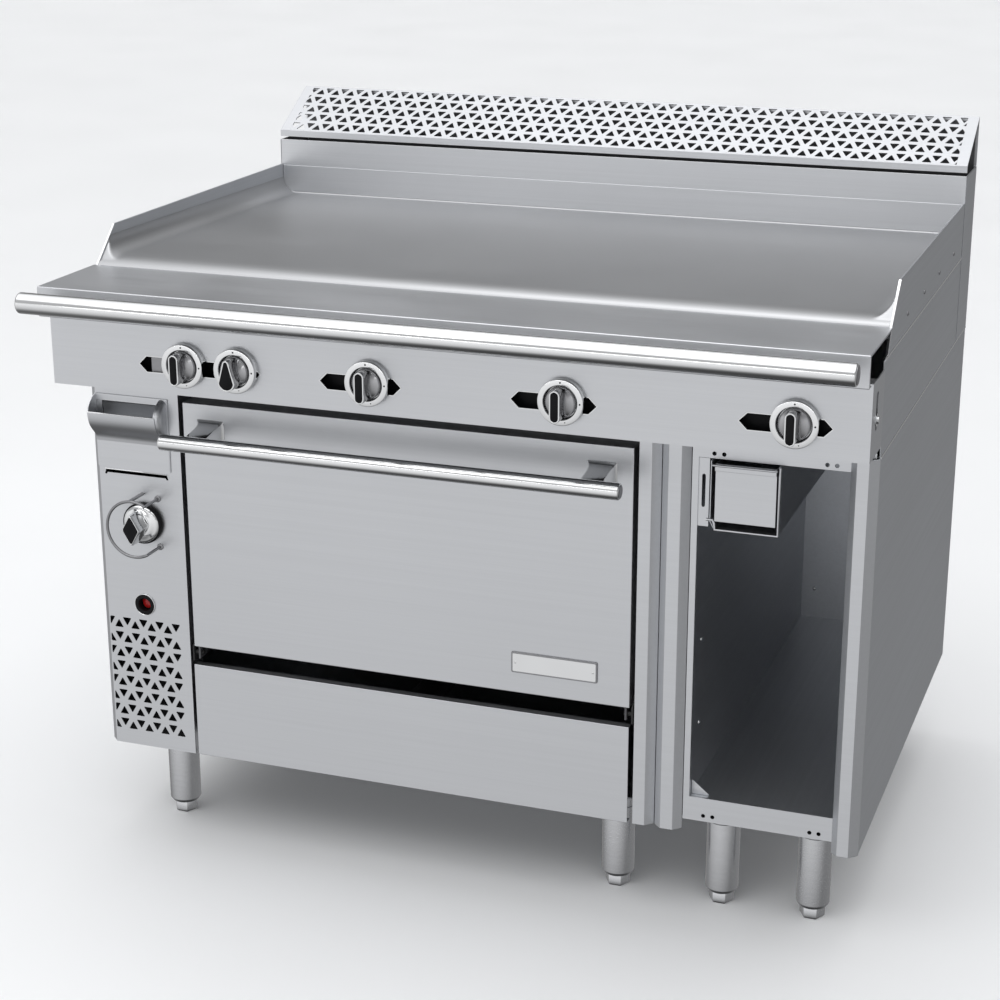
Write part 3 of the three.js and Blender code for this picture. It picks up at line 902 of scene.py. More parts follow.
@dataclass
class Repeats:
    """Geometry Nodes groups that repeat a small part over points or over a staggered grid."""

    seed: int = 11
    groups: dict[str, Any] = field(default_factory=dict)

    def scatter_group(self) -> Any:
        """Returns the group that puts a part on every point, turned by the "turn" attribute.

        Returns:
            The node group.
        """
        tree = self._tree("Scatter", [("Geometry", "Geometry"), ("Part", "Object"), ("Finish", "Material"),
                                      ("Spin", "Float"), ("Seed", "Int")])
        given, points, info, instances, euler, turn, random, combine, rotate, real, dress, out = self._nodes(
            tree, ["NodeGroupInput", "GeometryNodeMeshToPoints", "GeometryNodeObjectInfo",
                   "GeometryNodeInstanceOnPoints", "FunctionNodeEulerToRotation",
                   "GeometryNodeInputNamedAttribute", "FunctionNodeRandomValue", "ShaderNodeCombineXYZ",
                   "GeometryNodeRotateInstances", "GeometryNodeRealizeInstances",
                   "GeometryNodeSetMaterial", "NodeGroupOutput"])
        turn.data_type = "FLOAT_VECTOR"
        turn.inputs["Name"].default_value = "turn"
        random.data_type = "FLOAT"
        wire = tree.links.new
        wire(given.outputs["Geometry"], points.inputs["Mesh"])
        wire(given.outputs["Part"], info.inputs["Object"])
        wire(given.outputs["Spin"], random.inputs[3])
        wire(given.outputs["Seed"], random.inputs["Seed"])
        wire(points.outputs["Points"], instances.inputs["Points"])
        wire(info.outputs["Geometry"], instances.inputs["Instance"])
        wire(turn.outputs["Attribute"], euler.inputs["Euler"])
        wire(euler.outputs["Rotation"], instances.inputs["Rotation"])
        wire(random.outputs[1], combine.inputs["Z"])
        wire(instances.outputs["Instances"], rotate.inputs["Instances"])
        wire(combine.outputs["Vector"], rotate.inputs["Rotation"])
        wire(rotate.outputs["Instances"], real.inputs["Geometry"])
        wire(real.outputs["Geometry"], dress.inputs["Geometry"])
        wire(given.outputs["Finish"], dress.inputs["Material"])
        wire(dress.outputs["Geometry"], out.inputs["Geometry"])
        return tree

    def lattice_group(self) -> Any:
        """Returns the group that repeats a part over rows, each second row moved half a pitch.

        Returns:
            The node group.
        """
        tree = self._tree("Lattice", [("Geometry", "Geometry"), ("Part", "Object"), ("Finish", "Material"),
                                      ("Columns", "Int"), ("Rows", "Int"), ("Pitch", "Float"),
                                      ("Row Height", "Float")])
        given, grid, move, points, info, instances, real, dress, out = self._nodes(
            tree, ["NodeGroupInput", "GeometryNodeMeshGrid", "GeometryNodeSetPosition",
                   "GeometryNodeMeshToPoints", "GeometryNodeObjectInfo", "GeometryNodeInstanceOnPoints",
                   "GeometryNodeRealizeInstances", "GeometryNodeSetMaterial", "NodeGroupOutput"])
        width = self._math(tree, "MULTIPLY", self._math(tree, "SUBTRACT", given.outputs["Columns"], 1.0),
                           given.outputs["Pitch"])
        height = self._math(tree, "MULTIPLY", self._math(tree, "SUBTRACT", given.outputs["Rows"], 1.0),
                            given.outputs["Row Height"])
        position = tree.nodes.new("GeometryNodeInputPosition")
        parts = tree.nodes.new("ShaderNodeSeparateXYZ")
        combine = tree.nodes.new("ShaderNodeCombineXYZ")
        wire = tree.links.new
        wire(position.outputs["Position"], parts.inputs["Vector"])
        low = self._math(tree, "MULTIPLY", height, 0.5)
        row = self._math(tree, "ADD", parts.outputs["Y"], low)
        row = self._math(tree, "DIVIDE", row, given.outputs["Row Height"])
        row = self._math(tree, "FLOOR", self._math(tree, "ADD", row, 0.5), 0.0)
        odd = self._math(tree, "MODULO", row, 2.0)
        shift = self._math(tree, "MULTIPLY", self._math(tree, "MULTIPLY", odd, 0.5), given.outputs["Pitch"])
        wire(shift, combine.inputs["X"])
        wire(width, grid.inputs["Size X"])
        wire(height, grid.inputs["Size Y"])
        wire(given.outputs["Columns"], grid.inputs["Vertices X"])
        wire(given.outputs["Rows"], grid.inputs["Vertices Y"])
        wire(grid.outputs["Mesh"], move.inputs["Geometry"])
        wire(combine.outputs["Vector"], move.inputs["Offset"])
        wire(move.outputs["Geometry"], points.inputs["Mesh"])
        wire(points.outputs["Points"], instances.inputs["Points"])
        wire(given.outputs["Part"], info.inputs["Object"])
        wire(info.outputs["Geometry"], instances.inputs["Instance"])
        wire(instances.outputs["Instances"], real.inputs["Geometry"])
        wire(real.outputs["Geometry"], dress.inputs["Geometry"])
        wire(given.outputs["Finish"], dress.inputs["Material"])
        wire(dress.outputs["Geometry"], out.inputs["Geometry"])
        return tree

    def _tree(self, name: str, sockets: Sequence[tuple[str, str]]) -> Any:
        """Makes a group with the named inputs and one geometry output.

        Args:
            name: Name of the group.
            sockets: Pairs of a name and a kind, one for each input.

        Returns:
            The group.
        """
        tree = bpy.data.node_groups.new(name, "GeometryNodeTree")
        for label, kind in sockets:
            tree.interface.new_socket(label, in_out="INPUT", socket_type="NodeSocket" + kind)
        tree.interface.new_socket("Geometry", in_out="OUTPUT", socket_type="NodeSocketGeometry")
        return tree

    def _nodes(self, tree: Any, kinds: Sequence[str]) -> list[Any]:
        """Adds nodes of the given kinds to a tree."""
        return [tree.nodes.new(kind) for kind in kinds]

    def _math(self, tree: Any, operation: str, first: Any, second: Any) -> Any:
        """Adds a math node to a tree.

        Args:
            tree: The tree.
            operation: What the node does.
            first: First value or socket.
            second: Second value or socket.

        Returns:
            The socket of the result.
        """
        node = tree.nodes.new("ShaderNodeMath")
        node.operation = operation
        for socket, value in zip(node.inputs, (first, second)):
            if isinstance(value, bpy.types.NodeSocket):
                tree.links.new(value, socket)
            else:
                socket.default_value = value
        return node.outputs["Value"]

    def _run(self, kind: str, base: bpy.types.Object, values: dict[str, Any]) -> bpy.types.Object:
        """Runs a group on an object and keeps the result as a plain mesh.

        Args:
            kind: "scatter" or "lattice".
            base: Object the group works on.
            values: Value of each named input.

        Returns:
            The object with the repeated parts.
        """
        if kind not in self.groups:
            self.groups[kind] = self.scatter_group() if kind == "scatter" else self.lattice_group()
        group = self.groups[kind]
        modifier = base.modifiers.new("Repeat", "NODES")
        modifier.node_group = group
        for item in group.interface.items_tree:
            if item.in_out == "INPUT" and item.name in values:
                modifier[item.identifier] = values[item.name]
        part = values["Part"]
        bake(base)
        bpy.data.objects.remove(part)
        return base

    def scatter(self, name: str, part: bpy.types.Object, spots: Sequence[tuple[Point3, Point3]],
                finish: bpy.types.Material, spin: float = 0.0) -> bpy.types.Object:
        """Puts a small part at each spot.

        Args:
            name: Name of the piece.
            part: Small part, modelled about the world's origin.
            spots: Place in drawing millimetres and turn in radians of each copy.
            finish: Material of the copies.
            spin: Largest random turn about the part's own Z, in radians.

        Returns:
            One piece with every copy.
        """
        mesh = bpy.data.meshes.new(name)
        mesh.from_pydata([place(spot) for spot, _ in spots], [], [])
        turns = mesh.attributes.new("turn", "FLOAT_VECTOR", "POINT")
        for value, (_, turn) in zip(turns.data, spots):
            value.vector = turn
        base = add_object(name, mesh)
        return self._run("scatter", base, {"Part": part, "Finish": finish, "Spin": spin, "Seed": self.seed})

    def lattice(self, name: str, part: bpy.types.Object, size: tuple[int, int], pitch: float, row: float,
                finish: bpy.types.Material) -> bpy.types.Object:
        """Repeats a small part over staggered rows in the XY plane, about the origin.

        Args:
            name: Name of the piece.
            part: Cell, modelled about the world's origin.
            size: Number of columns and rows.
            pitch: Distance between columns in millimetres.
            row: Distance between rows in millimetres.
            finish: Material of the cells.

        Returns:
            One piece with every cell.
        """
        base = add_object(name, bpy.data.meshes.new(name))
        values = {"Part": part, "Finish": finish, "Columns": size[0], "Rows": size[1], "Pitch": pitch * MM,
                  "Row Height": row * MM}
        return self._run("lattice", base, values)


def origin_lathe(name: str, profile: Sequence[Point2], segments: int = 24) -> bpy.types.Object:
    """Turns a small part about Z at the world's origin, for use in repeats."""
    obj = lathe(name, profile, (0, -DEPTH_SHIFT / MM, 0), Axis.Z, segments)
    return bake(obj)


def screw_part() -> bpy.types.Object:
    """Makes a pan-head screw with a cross recess, its head towards +Z.

    Returns:
        The screw at the origin.
    """
    head = origin_lathe("screw_head", [(0, -0.6), (3.4, -0.6), (3.4, 0.3), (3.0, 1.0), (2.2, 1.5),
                                       (1.2, 1.7), (0, 1.7)])
    arms = []
    for index in range(4):
        turn = Matrix.Rotation(index * math.pi / 2, 4, "Z")
        arm = extrude("recess", rectangle(0.2, 1.7, -0.3 - DEPTH_SHIFT / MM, 0.3 - DEPTH_SHIFT / MM),
                      Axis.Z, 1.2, 1.82)
        arm.data.transform(turn)
        arms.append(arm)
    return merged("screw", [head, *arms])


# ---------------------------------------------------------------- sub-assemblies


@dataclass
class SubAssembly:
    """Common ground of the sub-assemblies: finishing pieces and reporting them."""

    palette: Palette
    repeats: Repeats
    frame: dict[str, Any]
    made: list[str] = field(default_factory=list)

    def dress(self, obj: bpy.types.Object, slot: Slot, body: str = "range_body",
              stands_for: Sequence[str] = ()) -> bpy.types.Object:
        """Gives a piece its finish, its body and the CAD nodes it stands for.

        Args:
            obj: The piece.
            slot: Material slot of its finish.
            body: CAD body it moves with.
            stands_for: CAD nodes it hides.

        Returns:
            The piece.
        """
        obj.data.materials.clear()
        obj.data.materials.append(self.palette.of(slot))
        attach(obj, body)
        if stands_for:
            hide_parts(*stands_for)
        self.made.append(obj.name)
        return obj

    def copy(self, node: str, slot: Slot, body: str = "range_body", width: float = 0.7,
             segments: int = 2) -> bpy.types.Object:
        """Makes a softened copy of a CAD node stand for it.

        Args:
            node: CAD node.
            slot: Material slot of its finish.
            body: CAD body it moves with.
            width: Width of the edge rounding in millimetres.
            segments: Steps across the rounding.

        Returns:
            The copy.
        """
        mesh = self.frame["nodes"][node].data.copy()
        weld(mesh, 1e-5, flatten=True)
        obj = add_object(node + "_sheet", mesh)
        soften(obj, width, segments)
        return self.dress(obj, slot, body, [node])

    def finish_node(self, node: str, slot: Slot) -> None:
        """Gives a CAD node that stays shown its procedural finish.

        Args:
            node: Name of the node.
            slot: Slot of its finish.
        """
        mesh = self.frame["nodes"][node].data
        for index in range(len(mesh.materials)):
            mesh.materials[index] = self.palette.of(slot)

    def report(self) -> None:
        """Logs the pieces made."""
        log.info("%s: %s", type(self).__name__, ", ".join(self.made))


@dataclass
class BodyShell(SubAssembly):
    """Outer sheets of the body, with hemmed seams and screws."""

    half: float = 609.5
    lower_top: float = 752.5
    upper_top: float = 892.0
    splash_top: float = 982.0
    back: float = 821.5
    duct_front: float = 709.4

    def build(self) -> None:
        """Builds the sheets, seams and fixings."""
        for node in ("oven_side_left", "cabinet_side_right", "upper_side_left", "upper_side_right",
                     "rear_panel"):
            self.copy(node, Slot.SIDE, width=0.6)
        for node in ("oven_side_right", "cabinet_side_left"):
            self.copy(node, Slot.FRONT, width=0.7)
        self.copy("kick_panel", Slot.FRONT, width=0.8)
        for node in ("base_pan", "burner_tray"):
            self.finish_node(node, Slot.SIDE)
        self.splash_sides()
        self.seams()
        self.side_screws()
        self.rear_screws()
        self.corner_cover()
        self.duct_covers()
        self.report()

    def splash_sides(self) -> None:
        """Builds the splash sides, each with a bright strip over its front edge."""
        for side, sign in (("left", -1), ("right", 1)):
            self.copy(f"splash_side_{side}", Slot.SIDE, width=0.8)
            path = [(26.6, self.upper_top + 1.5), (47.6, 929.2), (103.6, self.splash_top + 0.2)]
            edges = sorted((sign * (self.half + 0.2), sign * (self.half - 3.4)))
            strip = extrude(f"splash_edge_{side}", thick(path, -0.9), Axis.X, edges[0], edges[1])
            self.dress(soften(strip, 0.3), Slot.TRIM)

    def seams(self) -> None:
        """Builds the hemmed lower edges that show as thin lines along the sides."""
        for side, sign in (("left", -1), ("right", 1)):
            for name, z, front, end in (("upper", self.upper_top, 8.0, self.duct_front - 2),
                                        ("lower", self.lower_top, 16.0, self.back - 2)):
                x = sign * (self.half - 1.3)
                hem = tube(f"{name}_hem_{side}", [(x, front, z), (x, end, z)], 2.5, sides=3)
                self.dress(hem, Slot.TRIM)

    def side_screws(self) -> None:
        """Builds the screws through both splash sides."""
        spots = []
        for sign in (-1, 1):
            for y in (612.6, 464.8, 322.0, 177.2):
                spots.append(((sign * self.half, y, 918.5), (0.0, sign * math.pi / 2, 0.0)))
        screws = self.repeats.scatter("splash_screws", screw_part(), spots, self.palette.of(Slot.CASTING),
                                      spin=math.pi)
        self.dress(screws, Slot.CASTING)

    def rear_screws(self) -> None:
        """Builds the screws round the rear panel."""
        turn = (-math.pi / 2, 0.0, 0.0)
        spots = []
        for index in range(9):
            x = -584 + index * 146
            spots += [((x, self.back, z), turn) for z in (170.0, 1010.0)]
        for index in range(1, 6):
            z = 170 + index * 140
            spots += [((x, self.back, z), turn) for x in (-596.0, 0.0, 596.0)]
        screws = self.repeats.scatter("rear_screws", screw_part(), spots, self.palette.of(Slot.TRIM),
                                      spin=math.pi)
        self.dress(screws, Slot.TRIM)

    def duct_covers(self) -> None:
        """Builds the side sheets over the ends of the flue riser."""
        for side, sign in (("left", -1), ("right", 1)):
            edges = sorted((sign * (self.half + 0.1), sign * (self.half + 0.7)))
            outline = rectangle(self.duct_front - 0.4, self.back - 2.2, self.lower_top + 2.2, 1025.6)
            cover = extrude(f"duct_cover_{side}", outline, Axis.X, edges[0], edges[1])
            self.dress(soften(cover, 0.2, 1), Slot.SIDE)

    def corner_cover(self) -> None:
        """Builds the bright front face of the right corner post."""
        right = self.half
        path = [(right + 0.2, 16.0), (right + 0.2, 11.9), (right - 12, -0.3), (right - 28.5, -0.3)]
        outline = thick(path, 0.5)
        cover = extrude("corner_post_face", outline, Axis.Z, 153.0, 752.0)
        self.dress(soften(cover, 0.15, 1), Slot.FRONT)


@dataclass
class GriddleTop(SubAssembly):
    """Griddle plate with coved edges, rear splash, plate rail and grab bar."""

    half: float = 605.9
    front: float = 46.3
    back: float = 707.6
    under: float = 912.0
    side_cove: float = 28.0
    rear_cove: float = 3.0

    def build(self) -> None:
        """Builds the top."""
        self.griddle()
        self.copy("rear_splash", Slot.FRONT, width=0.5)
        self.copy("plate_rail", Slot.FRONT, width=2.6, segments=4)
        self.grab_bar()
        self.finish_node("griddle_burners", Slot.BURNER)
        self.report()

    def height(self, y: float) -> float:
        """Finds the height of the plate, which rolls down along its front edge.

        Args:
            y: Depth behind the door's face.

        Returns:
            The height.
        """
        if y < 95:
            share = (95 - y) / (95 - self.front)
            return 939.3 - 4.0 * share**2 - 10.0 * (1 - math.sqrt(max(0.0, 1 - share**4)))
        return 939.3 - 8.6 * (y - 95) / (self.back - 95)

    def rise(self, distance: float, radius: float) -> float:
        """Finds how far a cove lifts the surface.

        Args:
            distance: Distance from the wall.
            radius: Radius of the cove.

        Returns:
            The lift.
        """
        if distance >= radius:
            return 0.0
        return radius - math.sqrt(max(0.0, radius**2 - (radius - distance) ** 2))

    def griddle(self) -> None:
        """Builds the plate as a closed body with coves at both sides and the back."""
        bend = [self.side_cove * (1 - math.cos(i / 12 * math.pi / 2)) for i in range(13)]
        tight = [self.rear_cove * (1 - math.cos(i / 4 * math.pi / 2)) for i in range(5)]
        xs = [-self.half + d for d in bend] + [self.half - d for d in reversed(bend)]
        ys = [95 - (95 - self.front) * math.sin(i / 20 * math.pi / 2) for i in range(20, -1, -1)]
        ys += [200.0, 400.0, 600.0]
        ys += [self.back - d for d in reversed(tight)]
        points: list[Point3] = []
        for y in ys:
            for x in xs:
                side_lift = self.rise(self.half - abs(x), self.side_cove)
                edge = min(978.0, 926.0 + max(0.0, y - 48) * 53 / 56)
                room = max(0.0, edge - self.height(y))
                lift = max(min(side_lift, room), self.rise(self.back - y, self.rear_cove))
                points.append((x, y, self.height(y) + lift))
        wide = len(xs)
        faces = [
            [r * wide + c, r * wide + c + 1, (r + 1) * wide + c + 1, (r + 1) * wide + c]
            for r in range(len(ys) - 1)
            for c in range(wide - 1)
        ]
        rim = list(range(wide))
        rim += [r * wide + wide - 1 for r in range(1, len(ys))]
        rim += [(len(ys) - 1) * wide + c for c in range(wide - 2, -1, -1)]
        rim += [r * wide for r in range(len(ys) - 2, 0, -1)]
        start = len(points)
        points += [(points[i][0], points[i][1], self.under) for i in rim]
        for i in range(len(rim)):
            j = (i + 1) % len(rim)
            faces.append([rim[i], rim[j], start + j, start + i])
        faces.append([start + i for i in range(len(rim))])
        obj = bake(build("griddle_surface", points, faces), 50.0)
        self.dress(obj, Slot.GRIDDLE, stands_for=["griddle_plate"])

    def grab_bar(self) -> None:
        """Builds the bar with rounded end caps and its hidden posts."""
        radius, half = 15.5, 606.0
        profile = [(0.0, -half), (radius - 2.4, -half), (radius - 1.0, -half + 0.5),
                   (radius - 0.2, -half + 1.6), (radius, -half + 3.4)]
        profile += [(r, -h) for r, h in reversed(profile)]
        bar = bake(lathe("grab_bar_tube", profile, (0, -175, 917), Axis.X, 64))
        for side, sign in (("left", -1), ("right", 1)):
            disc = [(0.0, 0.0), (radius - 2.6, 0.0), (radius - 2.6, 0.5), (radius - 3.4, 0.9), (0.0, 0.9)]
            plug = lathe(f"grab_bar_plug_{side}", [(r, sign * h) for r, h in disc],
                         (sign * half, -175, 917), Axis.X, 48)
            self.dress(bake(plug), Slot.CASTING)
        posts = []
        for x in (-450, 0, 450):
            stem = [(0.0, -174.5), (5.6, -174.5), (5.6, -124), (6.2, -121.5), (6.8, -120.5), (6.8, -119.4),
                    (0.0, -119.4)]
            posts.append(bake(lathe("post", stem, (x, 0, 909), Axis.Y, 24)))
        self.dress(merged("grab_bar_whole", [bar, *posts]), Slot.TRIM, stands_for=["grab_bar"])


@dataclass
class Backguard(SubAssembly):
    """Flue riser and the cap with its triangular lattice."""

    half: float = 609.5
    front: Point2 = (709.4, 1042.3)
    back: Point2 = (821.5, 1107.0)
    lip: float = 1031.4
    rows: int = 5
    bar: float = 7.3

    def build(self) -> None:
        """Builds the riser and the cap."""
        self.copy("flue_riser", Slot.FRONT, width=0.8)
        self.cap()
        self.report()

    def cell(self, pitch: float, thickness: float) -> bpy.types.Object:
        """Builds two triangular rings, one pointing up and one down, about the origin.

        Args:
            pitch: Side of the triangles in millimetres.
            thickness: Thickness of the sheet in millimetres.

        Returns:
            The cell.
        """
        rise = pitch * math.sqrt(3) / 2
        rings = []
        for flip in (1, -1):
            middle = (0.0, rise / 3) if flip == 1 else (pitch / 2, rise * 2 / 3)
            rings.append(self.ring(middle, pitch, flip, thickness))
        return merged("cap_cell", rings)

    def ring(self, middle: Point2, side: float, flip: int, thickness: float) -> bpy.types.Object:
        """Builds one triangular ring with a rounded hole.

        Args:
            middle: Centre of the triangle.
            side: Outer side of the triangle.
            flip: 1 when it points up and -1 when it points down.
            thickness: Thickness of the sheet.

        Returns:
            The ring.
        """
        reach = side / math.sqrt(3)
        inner = reach - self.bar
        blend_radius = 1.1
        steps = 4
        outer = []
        hole = []
        for corner in range(3):
            turn = math.pi / 2 * flip + corner * 2 * math.pi / 3
            outer.append((middle[0] + reach * math.cos(turn), middle[1] + reach * math.sin(turn)))
            cx = middle[0] + (inner - 2 * blend_radius) * math.cos(turn)
            cy = middle[1] + (inner - 2 * blend_radius) * math.sin(turn)
            for step in range(steps):
                angle = turn + math.radians(-60 + 120 * step / (steps - 1))
                hole.append((cx + blend_radius * math.cos(angle), cy + blend_radius * math.sin(angle)))
        shift = -DEPTH_SHIFT / MM
        points: list[Point3] = []
        for z in (0.0, -thickness):
            points += [(x, y + shift, z) for x, y in outer]
            points += [(x, y + shift, z) for x, y in hole]
        count = 3 + len(hole)
        faces: list[list[int]] = []
        for base in (0, count):
            for corner in range(3):
                first = base + 3 + corner * steps
                for step in range(steps - 1):
                    faces.append([base + corner, first + step, first + step + 1])
                after = (corner + 1) % 3
                faces.append([base + corner, first + steps - 1, base + 3 + after * steps, base + after])
        for corner in range(3):
            after = (corner + 1) % 3
            faces.append([corner, after, count + after, count + corner])
        for i in range(len(hole)):
            j = (i + 1) % len(hole)
            faces.append([3 + i, 3 + j, count + 3 + j, count + 3 + i])
        return build("ring", points, faces)

    def cap(self) -> None:
        """Builds the lattice, its borders and the lip and back of the cap."""
        run = Vector(self.back) - Vector(self.front)
        length = run.length
        row = (length - 2.4) / self.rows
        pitch = row * 2 / math.sqrt(3)
        columns = math.ceil(2 * self.half / pitch) - 1
        lattice = self.repeats.lattice("cap_lattice", self.cell(pitch, 1.5), (columns, self.rows), pitch, row,
                                       self.palette.of(Slot.FRONT))
        slope = math.atan2(run.y, run.x)
        start = place((-pitch * 0.5, self.front[0], self.front[1]))
        along_run = Vector((0, run.x, run.y)).normalized()
        offset = along_run * (1.2 + row * (self.rows - 1) / 2) * MM
        lattice.data.transform(Matrix.Translation(start + offset) @ Matrix.Rotation(slope, 4, "X"))
        trim(lattice, self.half - 1.0)
        self.dress(lattice, Slot.FRONT, stands_for=["flue_cap"])
        self.borders(pitch)

    def borders(self, pitch: float) -> None:
        """Builds the end strips, the front lip and the back of the cap, and a dark sheet of painted shade
        inside the duct.

        Args:
            pitch: Distance between the lattice's columns.
        """
        (y0, z0), (y1, z1) = self.front, self.back
        edge = [(y0 - 0.2, z0 + 0.35), (y1 + 0.0, z1 + 0.0)]
        strip = pitch * 0.62
        outline = thick(edge, -2.1)
        for name, low, high in (("left", -self.half, -self.half + strip),
                                ("right", self.half - strip, self.half)):
            piece = extrude(f"cap_end_{name}", outline, Axis.X, low, high)
            self.dress(soften(piece, 0.4), Slot.FRONT)
        path = [(y0 + 1.2, self.lip), (y0, self.lip), (y0, z0), (y0 + 2.6, z0 + 1.5)]
        lip = extrude("cap_lip", thick(path, -1.6), Axis.X, -self.half, self.half)
        self.dress(soften(lip, 0.6, 3), Slot.FRONT)
        back = extrude("cap_back", thick([(y1 - 3.2, z1 - 1.9), (y1, z1), (y1, 1026.3)], -1.5), Axis.X,
                       -self.half, self.half)
        self.dress(soften(back, 0.5), Slot.FRONT)
        # Painted shade: a dark sheet inside the duct, behind the lattice, that darkens the cap's holes.
        duct_shade_sheet = extrude("duct_lining", rectangle(y1 - 5.0, y1 - 4.2, 942.0, z1 - 8), Axis.X,
                         4 - self.half, self.half - 4)
        self.dress(soften(duct_shade_sheet, 0.2, 1), Slot.LINER)


@dataclass
class ControlPanel(SubAssembly):
    """Folded panel with lipped slots, valves behind it, and five dials and knobs."""

    front: float = -88.0
    height: float = 822.0
    slot_height: float = 818.0
    slot_half: float = 12.7
    knobs: tuple[float, ...] = (-390.5, -306.2, -99.6, 188.4, 512.2)
    slots: tuple[Point2, ...] = ((-466.8, -268.6), (-177.0, -49.5), (111.6, 238.8), (433.8, 563.2))
    tapered: int = 2

    def build(self) -> None:
        """Builds the panel and its controls."""
        self.copy("control_panel", Slot.FRONT, width=0.8)
        self.finish_node("gas_manifold", Slot.CASTING)
        self.slot_lips()
        self.valve_plate()
        self.bracket_bolts()
        for number, x in enumerate(self.knobs, 1):
            self.dial(number, x)
            self.knob(number, x)
        self.report()

    def slot_lips(self) -> None:
        """Builds the thin turned edge round each slot."""
        lips = []
        for x0, x1 in self.slots:
            outer = self.pointed(x0, x1, 0.0)
            inner = self.pointed(x0, x1, 1.1)
            lips.append(plate("lip", outer, [inner], self.front - 0.35, self.front + 3.2))
        self.dress(merged("slot_lips", lips), Slot.TRIM)

    def pointed(self, x0: float, x1: float, inset: float) -> list[Point2]:
        """Draws a slot with pointed ends.

        Args:
            x0: X of its left point.
            x1: X of its right point.
            inset: How far the outline is drawn in.

        Returns:
            The outline.
        """
        half = self.slot_half - inset
        tip = inset * math.sqrt(2)
        z = self.slot_height
        return [(x0 + tip, z), (x0 + tip + half, z - half), (x1 - tip - half, z - half), (x1 - tip, z),
                (x1 - tip - half, z + half), (x0 + tip + half, z + half)]

    def valve_plate(self) -> None:
        """Builds the plate, and a black strip of painted shade that shows through the slots."""
        # Painted shade: the black strip stands in for the dark space behind the slots.
        strip = extrude("slot_shade", rectangle(-70.0, -68.5, 790.0, 850.0), Axis.X, -560.0, 600.0)
        self.dress(soften(strip, 0.3, 1), Slot.BLACK)
        block = extrude("valve_plate", rectangle(-83.0, -78.0, 800.0, 838.0), Axis.X, -449.0, -425.0)
        self.dress(soften(block, 1.0), Slot.CASTING)

    def bracket_bolts(self) -> None:
        """Builds a bolt with its washer in the slot of each end bracket."""
        bolts = []
        for x, sign in ((-612.0, -1), (612.0, 1)):
            washer = [(0.0, 0.0), (9.0, 0.0), (9.0, 1.0), (0.0, 1.0)]
            cap = [(0.0, 0.8), (5.8, 0.8), (5.8, 3.2), (5.0, 4.0), (0.0, 4.0)]
            bolt = lathe("bolt", [(r, h * sign) for r, h in washer], (x, -52, 826), Axis.X, 32)
            head = lathe("head", [(r, h * sign) for r, h in cap], (x, -52, 826), Axis.X, 6)
            bolts += [soften(bolt, 0.3, 1), soften(head, 0.3, 1)]
        self.dress(merged("bracket_bolts", bolts), Slot.TRIM)

    def dial(self, number: int, x: float) -> None:
        """Builds a fixed dial: stepped skirt, ribbed well and bright ring with marks.

        Args:
            number: Number of the dial.
            x: Its X.
        """
        face = -100.0
        profile = [(12.0, self.front - 0.3), (12.0, self.front - 4.0), (22.9, self.front - 4.0),
                   (24.0, face + 3.0),
                   (24.4, face + 0.8), (25.2, face), (31.4, face), (32.6, face + 0.5), (33.2, face + 1.8),
                   (33.2, face + 6.0), (31.8, face + 6.8), (31.8, self.front - 0.3), (12.0, self.front - 0.3)]
        ring = bake(lathe(f"dial_ring_{number}", profile, (x, 0, self.height), Axis.Y, 96))
        self.dress(ring, Slot.TRIM, stands_for=[f"dial_{number}"])
        dots = []
        for turn, size in ((90.0, 1.3), (0.0, 1.3), (-75.0, 0.8)):
            angle = math.radians(turn)
            dots.append(((x + 28.4 * math.cos(angle), face + 0.1, self.height + 28.4 * math.sin(angle)),
                         (math.pi / 2, 0.0, 0.0), size))
        marks = [bake(lathe("mark", [(0.0, 0.0), (size, 0.0), (size, -0.25), (size - 0.2, -0.35),
                                     (0.0, -0.35)], spot, Axis.Y, 20))
                 for spot, _, size in dots]
        self.dress(merged(f"dial_marks_{number}", marks), Slot.BLACK)

    def straight(self, inset: float, steps: int = 8) -> list[Point2]:
        """Draws a straight grip with rounded ends.

        Args:
            inset: How far the outline is drawn in.
            steps: Segments in each end.

        Returns:
            The outline.
        """
        half, run = 7.6 - inset, 15.4
        turns = [math.pi * i / steps for i in range(steps + 1)]
        arch = [(half * math.cos(a), run + half * math.sin(a)) for a in turns]
        side = [(-half, run * (1 - 2 * i / steps)) for i in range(1, steps)]
        return [*arch, *side, *[(-u, -v) for u, v in arch], *[(-u, -v) for u, v in side]]

    def tapering(self, inset: float, steps: int = 8) -> list[Point2]:
        """Draws a grip that widens downward.

        Args:
            inset: How far the outline is drawn in.
            steps: Segments in each end.

        Returns:
            The outline.
        """
        small, large = 5.0 - inset, 13.5 - inset
        top = [0.25 + (math.pi - 0.5) * i / steps for i in range(steps + 1)]
        low = [math.pi + 0.2 + (math.pi - 0.4) * i / steps for i in range(steps + 1)]
        arch = [(small * math.cos(a), 17 + small * math.sin(a)) for a in top]
        foot = [(large * math.cos(a), -10 + large * math.sin(a)) for a in low]
        outline = [*arch]
        for start, end, onward in ((arch[-1], foot[0], foot), (foot[-1], arch[0], [])):
            for i in range(1, steps):
                t = i / steps
                outline.append((start[0] + (end[0] - start[0]) * t, start[1] + (end[1] - start[1]) * t))
            outline += onward
        return outline

